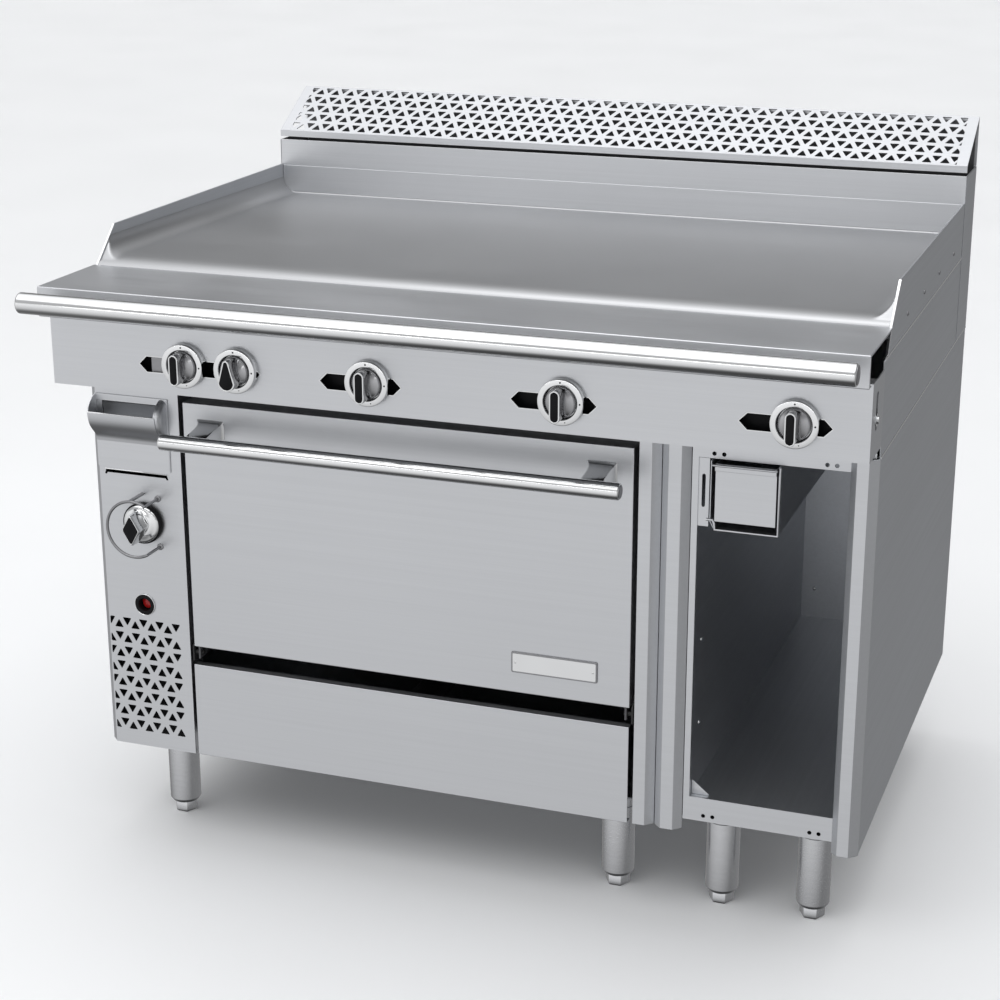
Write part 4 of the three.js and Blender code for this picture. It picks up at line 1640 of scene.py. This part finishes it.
    def knob(self, number: int, x: float) -> None:
        """Builds a turning knob: ribbed hub, grip that flares into it, and dark inset face.

        Args:
            number: Number of the knob.
            x: Its X.
        """
        body = f"valve_knob_{number}"
        shape = self.tapering if number == self.tapered else self.straight
        hub_profile = [(0.0, -89.9), (10.0, -89.9), (10.0, -93.0), (21.6, -93.0), (21.6, -98.6),
                       (20.8, -99.4), (0.0, -99.4)]
        hub = bake(lathe(f"knob_hub_{number}", hub_profile, (x, 0, self.height), Axis.Y, 64))
        self.dress(hub, Slot.CASTING, body, [f"knob_{number}"])
        rib = extrude("rib", rectangle(-0.45, 0.45, 21.2 - DEPTH_SHIFT / MM, 22.4 - DEPTH_SHIFT / MM),
                      Axis.Z, 93.4, 98.6)
        count = 48
        spots = [((x, 0.0, self.height), (math.pi / 2, 2 * math.pi * i / count, 0.0)) for i in range(count)]
        ribs = self.repeats.scatter(f"knob_ribs_{number}", soften(rib, 0.2, 1), spots,
                                    self.palette.of(Slot.CASTING))
        self.dress(ribs, Slot.CASTING, body)
        levels = [(self.flared(shape(0.0), (1 - i / 8) ** 2.4), -99.0 - 11.0 * i / 8) for i in range(9)]
        levels += [(shape(0.0), -121.8), (shape(0.4), -123.6), (shape(1.0), -124.6), (shape(1.9), -124.8),
                   (shape(2.0), -123.8)]
        sections = [[(x + u, y, self.height + v) for u, v in outline] for outline, y in levels]
        grip = bake(loft(f"knob_grip_{number}", sections), 50.0)
        self.dress(grip, Slot.RACK, body)
        edges = [[(x + u, self.height + v) for u, v in shape(inset)] for inset in (0.1, 2.1)]
        rim = plate(f"knob_rim_{number}", edges[0], [edges[1]], -125.0, -123.0)
        self.dress(soften(rim, 0.4, 2), Slot.TRIM, body)
        rows = ((shape(2.1), -123.2), (shape(2.1), -124.2), (shape(2.7), -124.7))
        face = bake(loft(f"knob_face_{number}", [[(x + u, y, self.height + v) for u, v in outline]
                                                 for outline, y in rows]), 50.0)
        self.dress(face, Slot.BLACK, body)

    def flared(self, outline: Sequence[Point2], share: float) -> list[Point2]:
        """Draws an outline toward the hub's circle.

        Args:
            outline: The outline.
            share: How far toward the circle, from 0 to 1.

        Returns:
            The new outline.
        """
        spread = []
        for u, v in outline:
            reach = math.hypot(u, v)
            k = 1 + share * (20.8 / reach - 1)
            spread.append((u * k, v * k))
        return spread


@dataclass
class ControlPillar(SubAssembly):
    """Pillar with its lattice vent, flap, thermostat, guard and igniter."""

    left: float = -609.5
    right: float = -454.5
    bottom: float = 152.0
    top: float = 752.0
    vent_left: float = -594.5
    vent_right: float = -472.5
    vent_bottom: float = 174.0
    vent_rows: int = 8
    vent_pitch: float = 29.0
    vent_bar: float = 7.6
    thermostat: Point2 = (-524.0, 536.0)
    igniter: Point2 = (-531.0, 398.0)

    def build(self) -> None:
        """Builds the pillar and everything on it."""
        self.face()
        self.flap()
        self.knob()
        self.guard()
        self.button()
        self.finish_node("oven_burner", Slot.CASTING)
        self.report()

    def clip(self, polygon: list[Point2], limit: float, sign: int) -> list[Point2]:
        """Cuts a polygon at an upright line.

        Args:
            polygon: Corners of the polygon.
            limit: X of the line.
            sign: 1 keeps what is right of the line and -1 what is left of it.

        Returns:
            The corners that stay.
        """
        kept: list[Point2] = []
        for (x0, z0), (x1, z1) in zip(polygon, polygon[1:] + polygon[:1]):
            inside0, inside1 = (x0 - limit) * sign >= 0, (x1 - limit) * sign >= 0
            if inside0:
                kept.append((x0, z0))
            if inside0 != inside1:
                share = (limit - x0) / (x1 - x0)
                kept.append((limit, z0 + (z1 - z0) * share))
        return kept

    def vent_holes(self) -> list[list[Point2]]:
        """Returns the triangles of the vent, cut where they meet its sides.

        Returns:
            The outline of each hole.
        """
        rise = self.vent_pitch * math.sqrt(3) / 2
        reach = self.vent_pitch / math.sqrt(3) - self.vent_bar
        holes = []
        for row in range(self.vent_rows):
            shift = self.vent_pitch / 2 if row % 2 else 0.0
            for k in range(-2, 11):
                up = k % 2 == 0
                x = self.vent_left + shift + k * self.vent_pitch / 2
                z = self.vent_bottom + row * rise + (rise / 3 if up else rise * 2 / 3)
                turns = [(math.pi / 2 if up else -math.pi / 2) + i * 2 * math.pi / 3 for i in range(3)]
                corners = [(x + reach * math.cos(t), z + reach * math.sin(t)) for t in turns]
                corners = self.clip(corners, self.vent_left - 1, 1)
                corners = self.clip(corners, self.vent_right + 1, -1)
                if len(corners) > 2 and max(u for u, _ in corners) - min(u for u, _ in corners) > 2.5:
                    holes.append(eased(corners, 2.0))
        return holes

    def face(self) -> None:
        """Builds the front face with its openings, the corner fold and the return."""
        slot = [(-586, 617), (-588.5, 609.5), (-585.5, 609), (-583.5, 612), (-482.5, 612), (-480.5, 609),
                (-477.5, 609.5), (-480, 617)]
        holes = [rectangle(-586, -488, 650, 728), slot, circle(*self.thermostat, 9.0),
                 circle(*self.igniter, 14.8)]
        holes += self.vent_holes()
        outline = rectangle(self.left + 11.9, self.right, self.bottom, self.top)
        front = plate("pillar_face", outline, holes, 0.0, 1.5)
        self.dress(soften(front, 0.35, 1), Slot.FRONT, stands_for=["control_pillar"])
        path = [(self.left, 14.0), (self.left, 12.0), (self.left + 12.2, 0.0)]
        fold = extrude("pillar_fold", thick(path, 1.5), Axis.Z, self.bottom, self.top)
        self.dress(soften(fold, 0.4), Slot.FRONT)
        turned = extrude("pillar_return", rectangle(self.right - 1.5, self.right, 0.4, 40.0), Axis.Z,
                         self.bottom, self.top)
        self.dress(soften(turned, 0.4), Slot.FRONT)
        rim = plate("slot_rim", rectangle(-588.0, -478.0, 617.0, 618.4), [], -0.9, 0.6)
        self.dress(soften(rim, 0.4, 1), Slot.TRIM)
        # Painted shade: a black sheet behind the vent that makes its see-through holes read dark.
        vent_shadow_sheet = extrude("vent_shade", rectangle(36.0, 37.5, 153.0, 390.0), Axis.X, -606.0, -458.0)
        self.dress(soften(vent_shadow_sheet, 0.3, 1), Slot.BLACK)
        # Painted shade: a black sheet that stands in for the dark hollow behind the flap's opening.
        pocket = extrude("flap_shade", rectangle(30.0, 31.5, 604.0, 738.0), Axis.X, -604.0, -470.0)
        self.dress(soften(pocket, 0.3, 1), Slot.BLACK)

    def flap(self) -> None:
        """Builds the flap: plate, scoop with a rolled rim and closed cheeks."""
        left, right, low, high = -598.0, -472.0, 622.0, 739.0
        end = right - 14
        hole = rounded(left + 3, end - 2, 683, 729, 3.0)
        sheet = plate("flap_plate", rounded(left, right, low, high, 1.5), [hole], -1.8, -0.3)
        self.dress(soften(sheet, 0.35, 1), Slot.FRONT, "flap", ["access_flap"])
        belly = self.scoop()
        hood = extrude("flap_scoop", thick(belly, 1.4), Axis.X, left + 0.4, end + 4)
        self.dress(soften(hood, 0.3, 1, 50.0), Slot.FRONT, "flap")
        rim = tube("flap_rim", [(left + 0.6, -24.9, 714.0), (end + 3.5, -24.9, 714.0)], 1.2)
        self.dress(rim, Slot.TRIM, "flap")
        hollow = [(-22.6, 711.0), (-19.5, 700.0), (-12.0, 693.0), (-4.0, 692.0), (1.6, 697.0),
                  (3.6, 708.0), (3.4, 718.0), (0.6, 727.4)]
        pocket = extrude("flap_pocket", thick(hollow, 1.2), Axis.X, -585.4, -488.6)
        self.dress(bake(pocket, 60.0), Slot.FRONT, "flap")
        outer = [*belly, (-23.5, 721), (-19, 727), (-9, 735), (-0.9, 738)]

        def shrunk(share: float) -> list[Point2]:
            """Returns the cheek's outline drawn in toward its middle."""
            return [(y * share, 704 + (z - 704) * (0.4 + 0.6 * share)) for y, z in outer]

        ends = {
            "left": ((left, 0.97), (left + 0.4, 1.0), (left + 1.5, 1.0)),
            "right": ((end + 1, 1.0), (end + 5, 1.0), (end + 7.6, 0.97), (end + 9.8, 0.88),
                      (end + 11.4, 0.74), (end + 12.4, 0.55)),
        }
        for name, levels in ends.items():
            cheek = loft(f"flap_cheek_{name}", [[(x, y, z) for y, z in shrunk(share)] for x, share in levels])
            self.dress(bake(cheek, 45.0), Slot.FRONT, "flap")
        seam = extrude("flap_seam", rectangle(-2.2, -1.7, low + 2, high - 2), Axis.X, right - 2.0,
                       right - 1.0)
        self.dress(soften(seam, 0.2, 1), Slot.FRONT, "flap")

    def scoop(self) -> list[Point2]:
        """Draws the side view of the scoop's belly as a smooth curve.

        Returns:
            The points of the curve.
        """
        start, first = Vector((-1.2, 664)), Vector((-2.2, 684))
        second, finish = Vector((-24.0, 682)), Vector((-25.2, 714))
        points = []
        for step in range(13):
            t = step / 12
            p = (start * (1 - t) ** 3 + first * 3 * t * (1 - t) ** 2 + second * 3 * t * t * (1 - t)
                 + finish * t**3)
            points.append((p.x, p.y))
        return points

    def knob(self) -> None:
        """Builds the thermostat knob: skirt, bright ring, faceted grip and dark face."""
        x, z = self.thermostat
        skirt = bake(lathe("thermostat_skirt", [(0.0, 8.0), (5.0, 8.0), (5.0, -3.6), (31.0, -3.6),
                                                (32.6, -4.4), (33.0, -6.0), (32.4, -8.6),
                                                (30.8, -9.4), (0.0, -9.4)], (x, 0, z), Axis.Y, 96))
        self.dress(skirt, Slot.BLACK, "oven_knob", ["thermostat_knob"])
        ring = bake(lathe("thermostat_ring", [(14.0, -9.0), (29.6, -9.0), (30.2, -10.0), (29.0, -11.8),
                                              (26.0, -13.0), (21.5, -13.8),
                                              (19.0, -15.4), (14.0, -15.4), (14.0, -9.0)], (x, 0, z),
                          Axis.Y, 96))
        self.dress(ring, Slot.TRIM, "oven_knob")

        def rhombus(half: float, tall: float) -> list[Point2]:
            """Returns a rhombus with slightly flattened corners."""
            return [(1.5, tall - 1), (-1.5, tall - 1), (-half, 1.6), (-half, -1.6), (-1.5, 1 - tall),
                    (1.5, 1 - tall), (half, -1.6), (half, 1.6)]

        levels = ((rhombus(14.0, 22.0), -12.0), (rhombus(15.6, 26.0), -20.0), (rhombus(15.6, 26.0), -41.0),
                  (rhombus(14.0, 24.0), -44.6),
                  (rhombus(12.6, 22.0), -44.9), (rhombus(12.4, 21.8), -43.6))
        grip = loft("thermostat_grip", [[(x + u, y, z + v) for u, v in outline] for outline, y in levels])
        self.dress(soften(grip, 0.5), Slot.TRIM, "oven_knob")
        rows = ((rhombus(12.2, 21.5), -43.0), (rhombus(12.2, 21.5), -44.2), (rhombus(11.2, 20.2), -44.9))
        face = loft("thermostat_face", [[(x + u, y, z + v) for u, v in outline] for outline, y in rows])
        self.dress(soften(face, 0.3), Slot.BLACK, "oven_knob")

    def guard(self) -> None:
        """Builds the round wire guard with its two legs and clip."""
        x, z, radius, reach = self.thermostat[0] + 4, self.thermostat[1] + 2, 45.0, -42.0
        gap = math.acos(22 / radius)
        loop = []
        for i in range(65):
            angle = gap + (2 * math.pi - 2 * gap) * i / 64
            loop.append((x + radius * math.cos(angle), reach, z + radius * math.sin(angle)))

        def leg(end: Point3) -> list[Point3]:
            """Returns the bend from a loop end to the panel."""
            bend = [(end[0], end[1] + 6 * (1 - math.cos(a)), end[2]) for a in (0.3, 0.7, 1.1, 1.5)]
            return [*bend, (end[0], -0.3, end[2])]

        path = [*reversed(leg(loop[0])), *loop, *leg(loop[-1])]
        self.dress(tube("guard_wire", path, 2.3, sides=5), Slot.CASTING, stands_for=["knob_guard"])
        feet = []
        for end in (loop[0], loop[-1]):
            feet.append(bake(lathe("foot", [(0.0, -0.2), (5.2, -0.2), (5.2, -1.6), (4.4, -2.2),
                                            (0.0, -2.2)], (end[0], 0, end[2]), Axis.Y, 24)))
        clip_x, clip_z = x - 4, z + radius
        feet.append(soften(extrude("clip", rectangle(reach - 2.5, -0.3, clip_z - 1.6, clip_z + 1.4),
                                   Axis.X, clip_x - 3, clip_x + 3), 0.6))
        self.dress(merged("guard_feet", feet), Slot.CASTING)

    def button(self) -> None:
        """Builds the igniter: bright ring, dark tube and domed button."""
        x, z = self.igniter
        ring = bake(lathe("igniter_ring", [(16.6, -0.3), (18.2, -0.3), (18.2, -1.4), (17.8, -2.2),
                                           (17.2, -2.3), (16.6, -1.8), (16.6, -0.3)],
                          (x, 0, z), Axis.Y, 64))
        self.dress(ring, Slot.TRIM)
        tube_profile = [(10.4, -2.0), (11.4, -3.0), (15.6, -3.0), (16.5, -2.2), (16.5, -0.3), (14.1, -0.3),
                        (14.1, 23.5), (10.4, 23.5),
                        (10.4, -2.0)]
        collar = bake(lathe("igniter_tube", tube_profile, (x, 0, z), Axis.Y, 64))
        self.dress(collar, Slot.BLACK, stands_for=["igniter_bezel"])
        dome = [(0.0, 7.1), (4.0, 7.2), (7.4, 7.8), (9.2, 9.0), (9.7, 11.0), (9.7, 22.0), (0.0, 22.0)]
        red = bake(lathe("igniter_cap", dome, (x, 0, z), Axis.Y, 48))
        self.dress(red, Slot.RED, "button", ["igniter_button"])


@dataclass
class OvenDoor(SubAssembly):
    """Door pan, liner, bar handle on flared brackets and a blank name plate."""

    middle: float = -90.55
    bar_y: float = -70.0
    bar_z: float = 694.0
    bar_radius: float = 12.3
    bar_half: float = 358.0
    bracket: float = 310.0

    def build(self) -> None:
        """Builds the door."""
        self.copy("door_outer", Slot.FRONT, "oven_door", width=1.6, segments=3)
        self.finish_node("door_liner", Slot.LINER)
        for side in ("left", "right"):
            self.copy(f"hinge_bracket_{side}", Slot.BURNER, width=0.4)
        self.bar()
        for side, sign in (("left", -1), ("right", 1)):
            self.arm(side, self.middle + sign * self.bracket)
        self.name_plate()
        self.report()

    def bar(self) -> None:
        """Builds the handle bar with flat ends, each closed by a darker plug."""
        r, half = self.bar_radius, self.bar_half
        end = [(0.0, -half), (r - 2.4, -half), (r - 1.0, -half + 0.5), (r - 0.2, -half + 1.6),
               (r, -half + 3.4)]
        profile = end + [(radius, -h) for radius, h in reversed(end)]
        bar = bake(lathe("handle_tube", profile, (self.middle, self.bar_y, self.bar_z), Axis.X, 64))
        self.dress(bar, Slot.TRIM, "oven_door", ["door_handle_bar"])
        for side, sign in (("left", -1), ("right", 1)):
            disc = [(0.0, 0.0), (r - 2.6, 0.0), (r - 2.6, 0.5), (r - 3.4, 0.9), (0.0, 0.9)]
            at = (self.middle + sign * half, self.bar_y, self.bar_z)
            plug = lathe(f"handle_plug_{side}", [(radius, sign * h) for radius, h in disc], at, Axis.X, 48)
            self.dress(bake(plug), Slot.CASTING, "oven_door")

    def arm(self, side: str, x: float) -> None:
        """Builds one bracket that flares into the door.

        Args:
            side: "left" or "right".
            x: X of its middle.
        """
        levels = ((-0.3, 22.5, 664.0, 713.0), (-2.5, 20.5, 668.0, 710.5), (-6.0, 18.6, 673.0, 708.6),
                  (-12.0, 17.4, 679.0, 706.8),
                  (-22.0, 17.0, 684.0, 704.6), (-50.0, 17.0, 688.0, 699.6), (-66.0, 17.0, 689.0, 697.0))
        sections = [[(x + u, y, v) for u, v in rounded(-half, half, low, high, 2.0)] for y, half, low,
                    high in levels]
        arm = bake(loft(f"bracket_arm_{side}", sections), 35.0)
        self.dress(arm, Slot.TRIM, "oven_door", [f"handle_bracket_{side}"])

    def name_plate(self) -> None:
        """Builds the blank plate with a raised border and two rivets."""
        sheet = extrude("plate_sheet", rounded(83, 217, 371, 404, 2.4), Axis.Y, -2.0, -0.3)
        self.dress(soften(sheet, 0.5), Slot.CASTING, "oven_door", ["name_plate"])
        border = plate("plate_border", rounded(83.6, 216.4, 371.6, 403.4, 2.2),
                       [rounded(85.4, 214.6, 373.4, 401.6, 1.6)], -2.7, -1.8)
        self.dress(soften(border, 0.25, 1), Slot.CASTING, "oven_door")
        inlay = extrude("plate_inlay", rounded(85.2, 214.8, 373.2, 401.8, 1.2), Axis.Y, -2.35, -1.9)
        self.dress(soften(inlay, 0.1, 1), Slot.TRIM, "oven_door")
        spots = [((x, -2.0, 387.5), (math.pi / 2, 0.0, 0.0)) for x in (89.5, 210.5)]
        rivet = origin_lathe("rivet", [(0, -0.3), (1.8, -0.3), (1.7, 0.3), (1.1, 0.75), (0, 0.9)])
        self.dress(self.repeats.scatter("plate_rivets", rivet, spots, self.palette.of(Slot.TRIM)),
                   Slot.TRIM, "oven_door")


@dataclass
class OvenCavity(SubAssembly):
    """Liner and wire rack behind the door."""

    left: float = -417.0
    right: float = 236.0
    front: float = 100.0
    back: float = 720.0
    bottom: float = 470.3
    wires: int = 27

    def build(self) -> None:
        """Builds the cavity."""
        self.finish_node("oven_liner", Slot.LINER)
        self.rack()
        self.report()

    def rack(self) -> None:
        """Builds the rack: bent outer wire, cross wires and a wire along the middle."""
        z = self.bottom + 3.0
        corners = rounded(self.left + 3, self.right - 3, self.front + 3, self.back - 3, 14.0, 6)
        rim = tube("rack_rim", [(u, v, z) for u, v in corners], 2.9, closed=True)
        cross = [tube("cross", [(self.left + 3, y, z - 0.4), (self.right - 3, y, z - 0.4)], 2.2)
                 for y in (260.0, 410.0, 560.0)]
        self.dress(merged("rack_rim_wires", [rim, *cross]), Slot.RACK, "rack", ["oven_rack"])
        middle = (self.front + self.back) / 2
        reach = (self.back - self.front) / 2 - 4
        shift = -DEPTH_SHIFT / MM
        wire = tube("wire", [(0.0, shift - reach, 0.0), (0.0, shift + reach, 0.0)], 1.6, sides=2)
        step = (self.right - self.left - 6) / (self.wires + 1)
        spots = [((self.left + 3 + step * (i + 1), middle, z + 0.9), (0.0, 0.0, 0.0))
                 for i in range(self.wires)]
        self.dress(self.repeats.scatter("rack_wires", wire, spots, self.palette.of(Slot.RACK)), Slot.RACK,
                   "rack")


@dataclass
class OpenCabinet(SubAssembly):
    """Open cabinet on the right with the grease drawer in its housing."""

    front: float = 12.5
    left: float = 357.0
    right: float = 571.0
    bottom: float = 205.5

    def build(self) -> None:
        """Builds the cabinet."""
        self.copy("cabinet_frame", Slot.FRONT, width=0.35, segments=1)
        self.finish_node("cabinet_liner", Slot.SIDE)
        self.copy("drawer_housing", Slot.SIDE, width=0.4)
        self.copy("grease_drawer", Slot.FRONT, "drawer", width=0.5)
        self.housing_rim()
        self.corner_bracket()
        self.wall_screws()
        self.report()

    def housing_rim(self) -> None:
        """Builds the rolled front edge of the drawer housing and the drawer's lip."""
        path = [(372.0, 3.6, 642.5), (381.0, 3.6, 642.5), (383.5, 3.6, 638.0), (384.5, 3.6, 628.4),
                (475.0, 3.6, 628.4), (475.0, 3.6, 728)]
        self.dress(tube("housing_rim", path, 2.2), Slot.FRONT)
        lip = tube("drawer_lip", [(380.0, -2.6, 724.6), (472.4, -2.6, 724.6)], 1.8)
        self.dress(lip, Slot.FRONT, "drawer")

    def corner_bracket(self) -> None:
        """Builds the small bracket on the cabinet's floor at the front left."""
        x, z = self.left + 0.5, self.bottom - 0.2
        outline = [(x, z), (x + 26, z), (x + 26, z + 1.8), (x + 4, z + 20), (x, z + 22)]
        bracket = extrude("floor_bracket", outline, Axis.Y, 24.0, 26.2)
        self.dress(soften(bracket, 0.5), Slot.FRONT)

    def wall_screws(self) -> None:
        """Builds two screws on the left wall of the cabinet and four at its back."""
        spots = [((self.left, 56.7, z), (0.0, math.pi / 2, 0.0)) for z in (438.9, 306.8)]
        spots += [((x, 786.5, z), (math.pi / 2, 0.0, 0.0)) for x in (380.0, 575.0) for z in (260.0, 690.0)]
        screws = self.repeats.scatter("cabinet_screws", screw_part(), spots, self.palette.of(Slot.TRIM),
                                      spin=math.pi)
        self.dress(screws, Slot.TRIM)


@dataclass
class Legs(SubAssembly):
    """Eight tube legs with screw-in hexagonal feet."""

    columns: tuple[float, ...] = (-528.0, 226.0, 392.0, 533.0)
    rows: tuple[tuple[str, float], ...] = (("front", 93.0), ("rear", 742.0))
    radius: float = 25.4
    foot: float = 19.5

    def build(self) -> None:
        """Builds each leg in place."""
        for row, y in self.rows:
            for number, x in enumerate(self.columns, 1):
                self.leg(f"{row}_{number}", x, y)
        self.report()

    def leg(self, label: str, x: float, y: float) -> None:
        """Builds one leg.

        Args:
            label: End of the CAD node's name.
            x: X of its middle.
            y: Y of its middle.
        """
        r = self.radius
        profile = [(0.0, 19.2), (self.foot + 1.5, 19.2), (self.foot + 2.4, 19.8), (r - 0.4, 24.4),
                   (r, 26.0), (r, 137.0), (r - 0.9, 138.0),
                   (r - 0.9, 140.0), (r, 141.0), (r, 169.0), (0.0, 169.0)]
        shank = bake(lathe(f"leg_tube_{label}", profile, (x, y, 0), Axis.Z, 64))
        hexagon = circle(0, 0, self.foot, 6)
        levels = ((0.0, 0.86), (2.2, 0.97), (3.4, 1.0), (18.0, 1.0), (19.4, 0.96))
        sections = [[(x + u * k, y + v * k, z) for u, v in hexagon] for z, k in levels]
        foot = soften(loft("foot", sections), 0.6)
        self.dress(merged(f"leg_{label}_whole", [shank, foot]), Slot.LEG, stands_for=[f"leg_{label}"])


# ---------------------------------------------------------------- studio


@dataclass(frozen=True)
class Softbox:
    """A rectangular soft light aimed at a point."""

    name: str
    location: Point3
    target: Point3
    size: Point2
    power: float

    def build(self) -> bpy.types.Object:
        """Makes the light.

        Returns:
            The light object.
        """
        data = bpy.data.lights.new(self.name, "AREA")
        data.shape = "RECTANGLE"
        data.size, data.size_y = self.size
        data.energy = self.power
        light = bpy.data.objects.new(self.name, data)
        bpy.context.scene.collection.objects.link(light)
        light.location = self.location
        direction = Vector(self.target) - Vector(self.location)
        light.rotation_mode = "QUATERNION"
        light.rotation_quaternion = direction.to_track_quat("-Z", "Y")
        return light


@dataclass
class Studio:
    """Pale floor, soft lights and the camera."""

    camera_at: Point3 = (1.0527, -3.0413, 1.5980)
    yaw: float = 0.347545
    pitch: float = 0.319801
    roll: float = -0.001835
    lens: float = 75.72
    level: float = 0.60
    toward: Point3 = (-0.14, -0.44, 0.50)
    darkest: float = 0.29
    bands: tuple[Point2, ...] = ((-0.95, 0.25), (-0.55, 1.0), (0.05, 1.0), (0.24, 0.46), (0.5, 0.46),
                                 (0.68, 1.36))
    lights: tuple[Softbox, ...] = (
        Softbox("key", (-1.8, -3.0, 3.4), (0.0, 0.0, 0.6), (1.6, 1.0), 8.0),
        Softbox("top", (0.0, 0.0, 3.6), (0.0, 0.2, 0.9), (2.6, 1.6), 16.0),
        Softbox("strip", (-0.4, -3.6, 1.5), (0.0, -0.2, 0.9), (4.6, 0.2), 7.0),
    )

    def build(self) -> None:
        """Builds the studio."""
        self.floor()
        for box in self.lights:
            box.build()
        self.sky()
        self.camera()

    def floor(self) -> None:
        """Builds the floor and the walls far around it; none of them shows in a reflection."""
        size = 40.0
        ring = [(-size, size), (size, size), (size, -size), (-size, -size)]
        surfaces = {"floor": [(x, y, -0.0005) for x, y in reversed(ring)]}
        for side, (first, second) in enumerate(zip(ring, ring[1:] + ring[:1])):
            surfaces[f"backdrop_{side}"] = [(*first, -1.0), (*second, -1.0), (*second, size), (*first, size)]
        paint = FloorPaint().material("floor_paint")
        for name, corners in surfaces.items():
            mesh = bpy.data.meshes.new(name)
            mesh.from_pydata(corners, [], [(0, 1, 2, 3)])
            mesh.materials.append(paint)
            surface = add_object(name, mesh)
            surface.visible_glossy = False
            if name not in ("floor", "backdrop_0"):
                surface.visible_diffuse = False
                surface.visible_shadow = False

    def sky(self) -> None:
        """Sets a soft surrounding that is brightest overhead and in front."""
        world = bpy.data.worlds.new("studio")
        world.use_nodes = True
        nodes, links = world.node_tree.nodes, world.node_tree.links
        background = nodes["Background"]
        direction = nodes.new("ShaderNodeTexCoord")
        weigh = nodes.new("ShaderNodeVectorMath")
        weigh.operation = "DOT_PRODUCT"
        weigh.inputs[1].default_value = self.toward
        total = nodes.new("ShaderNodeMath")
        total.operation = "ADD"
        total.inputs[1].default_value = self.level
        floor = nodes.new("ShaderNodeMath")
        floor.operation = "MAXIMUM"
        floor.inputs[1].default_value = self.darkest
        links.new(direction.outputs["Generated"], weigh.inputs[0])
        links.new(weigh.outputs["Value"], total.inputs[0])
        links.new(total.outputs["Value"], floor.inputs[0])
        parts = nodes.new("ShaderNodeSeparateXYZ")
        below = nodes.new("ShaderNodeMapRange")
        below.inputs["From Min"].default_value = -1.0
        bands = nodes.new("ShaderNodeValToRGB")
        bands.color_ramp.interpolation = "EASE"
        for index, (height, share) in enumerate(self.bands):
            stop = bands.color_ramp.elements[index] if index < 2 else bands.color_ramp.elements.new(1.0)
            stop.position = (height + 1) / 2
            stop.color = (share, share, share, 1.0)
        dimmed = nodes.new("ShaderNodeMath")
        dimmed.operation = "MULTIPLY"
        links.new(direction.outputs["Generated"], parts.inputs["Vector"])
        links.new(parts.outputs["Z"], below.inputs["Value"])
        links.new(floor.outputs["Value"], dimmed.inputs[0])
        links.new(below.outputs["Result"], bands.inputs["Fac"])
        links.new(bands.outputs["Color"], dimmed.inputs[1])
        links.new(dimmed.outputs["Value"], background.inputs["Strength"])
        background.inputs["Color"].default_value = (0.985, 0.99, 1.0, 1.0)
        bpy.context.scene.world = world

    def camera(self) -> None:
        """Sets the camera."""
        data = bpy.data.cameras.new("camera")
        data.sensor_width = 36.0
        data.lens = self.lens
        data.clip_start, data.clip_end = 0.05, 100.0
        camera = bpy.data.objects.new("camera", data)
        bpy.context.scene.collection.objects.link(camera)
        camera.rotation_mode = "QUATERNION"
        turn = (Matrix.Rotation(self.yaw, 4, "Z") @ Matrix.Rotation(math.pi / 2 - self.pitch, 4, "X")
                @ Matrix.Rotation(self.roll, 4, "Z"))
        camera.rotation_quaternion = turn.to_quaternion()
        camera.location = self.camera_at
        bpy.context.scene.camera = camera
        bpy.context.scene.view_settings.view_transform = "Standard"


def main() -> None:
    """Builds the range, its finishes and the studio."""
    logging.basicConfig(level=logging.INFO, format="%(message)s")
    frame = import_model()
    palette = Palette()
    repeats = Repeats()
    parts = [BodyShell, GriddleTop, Backguard, ControlPanel, ControlPillar, OvenDoor, OvenCavity,
             OpenCabinet, Legs]
    for part in parts:
        part(palette, repeats, frame).build()
    Studio().build()


if __name__ == "__main__":
    main()
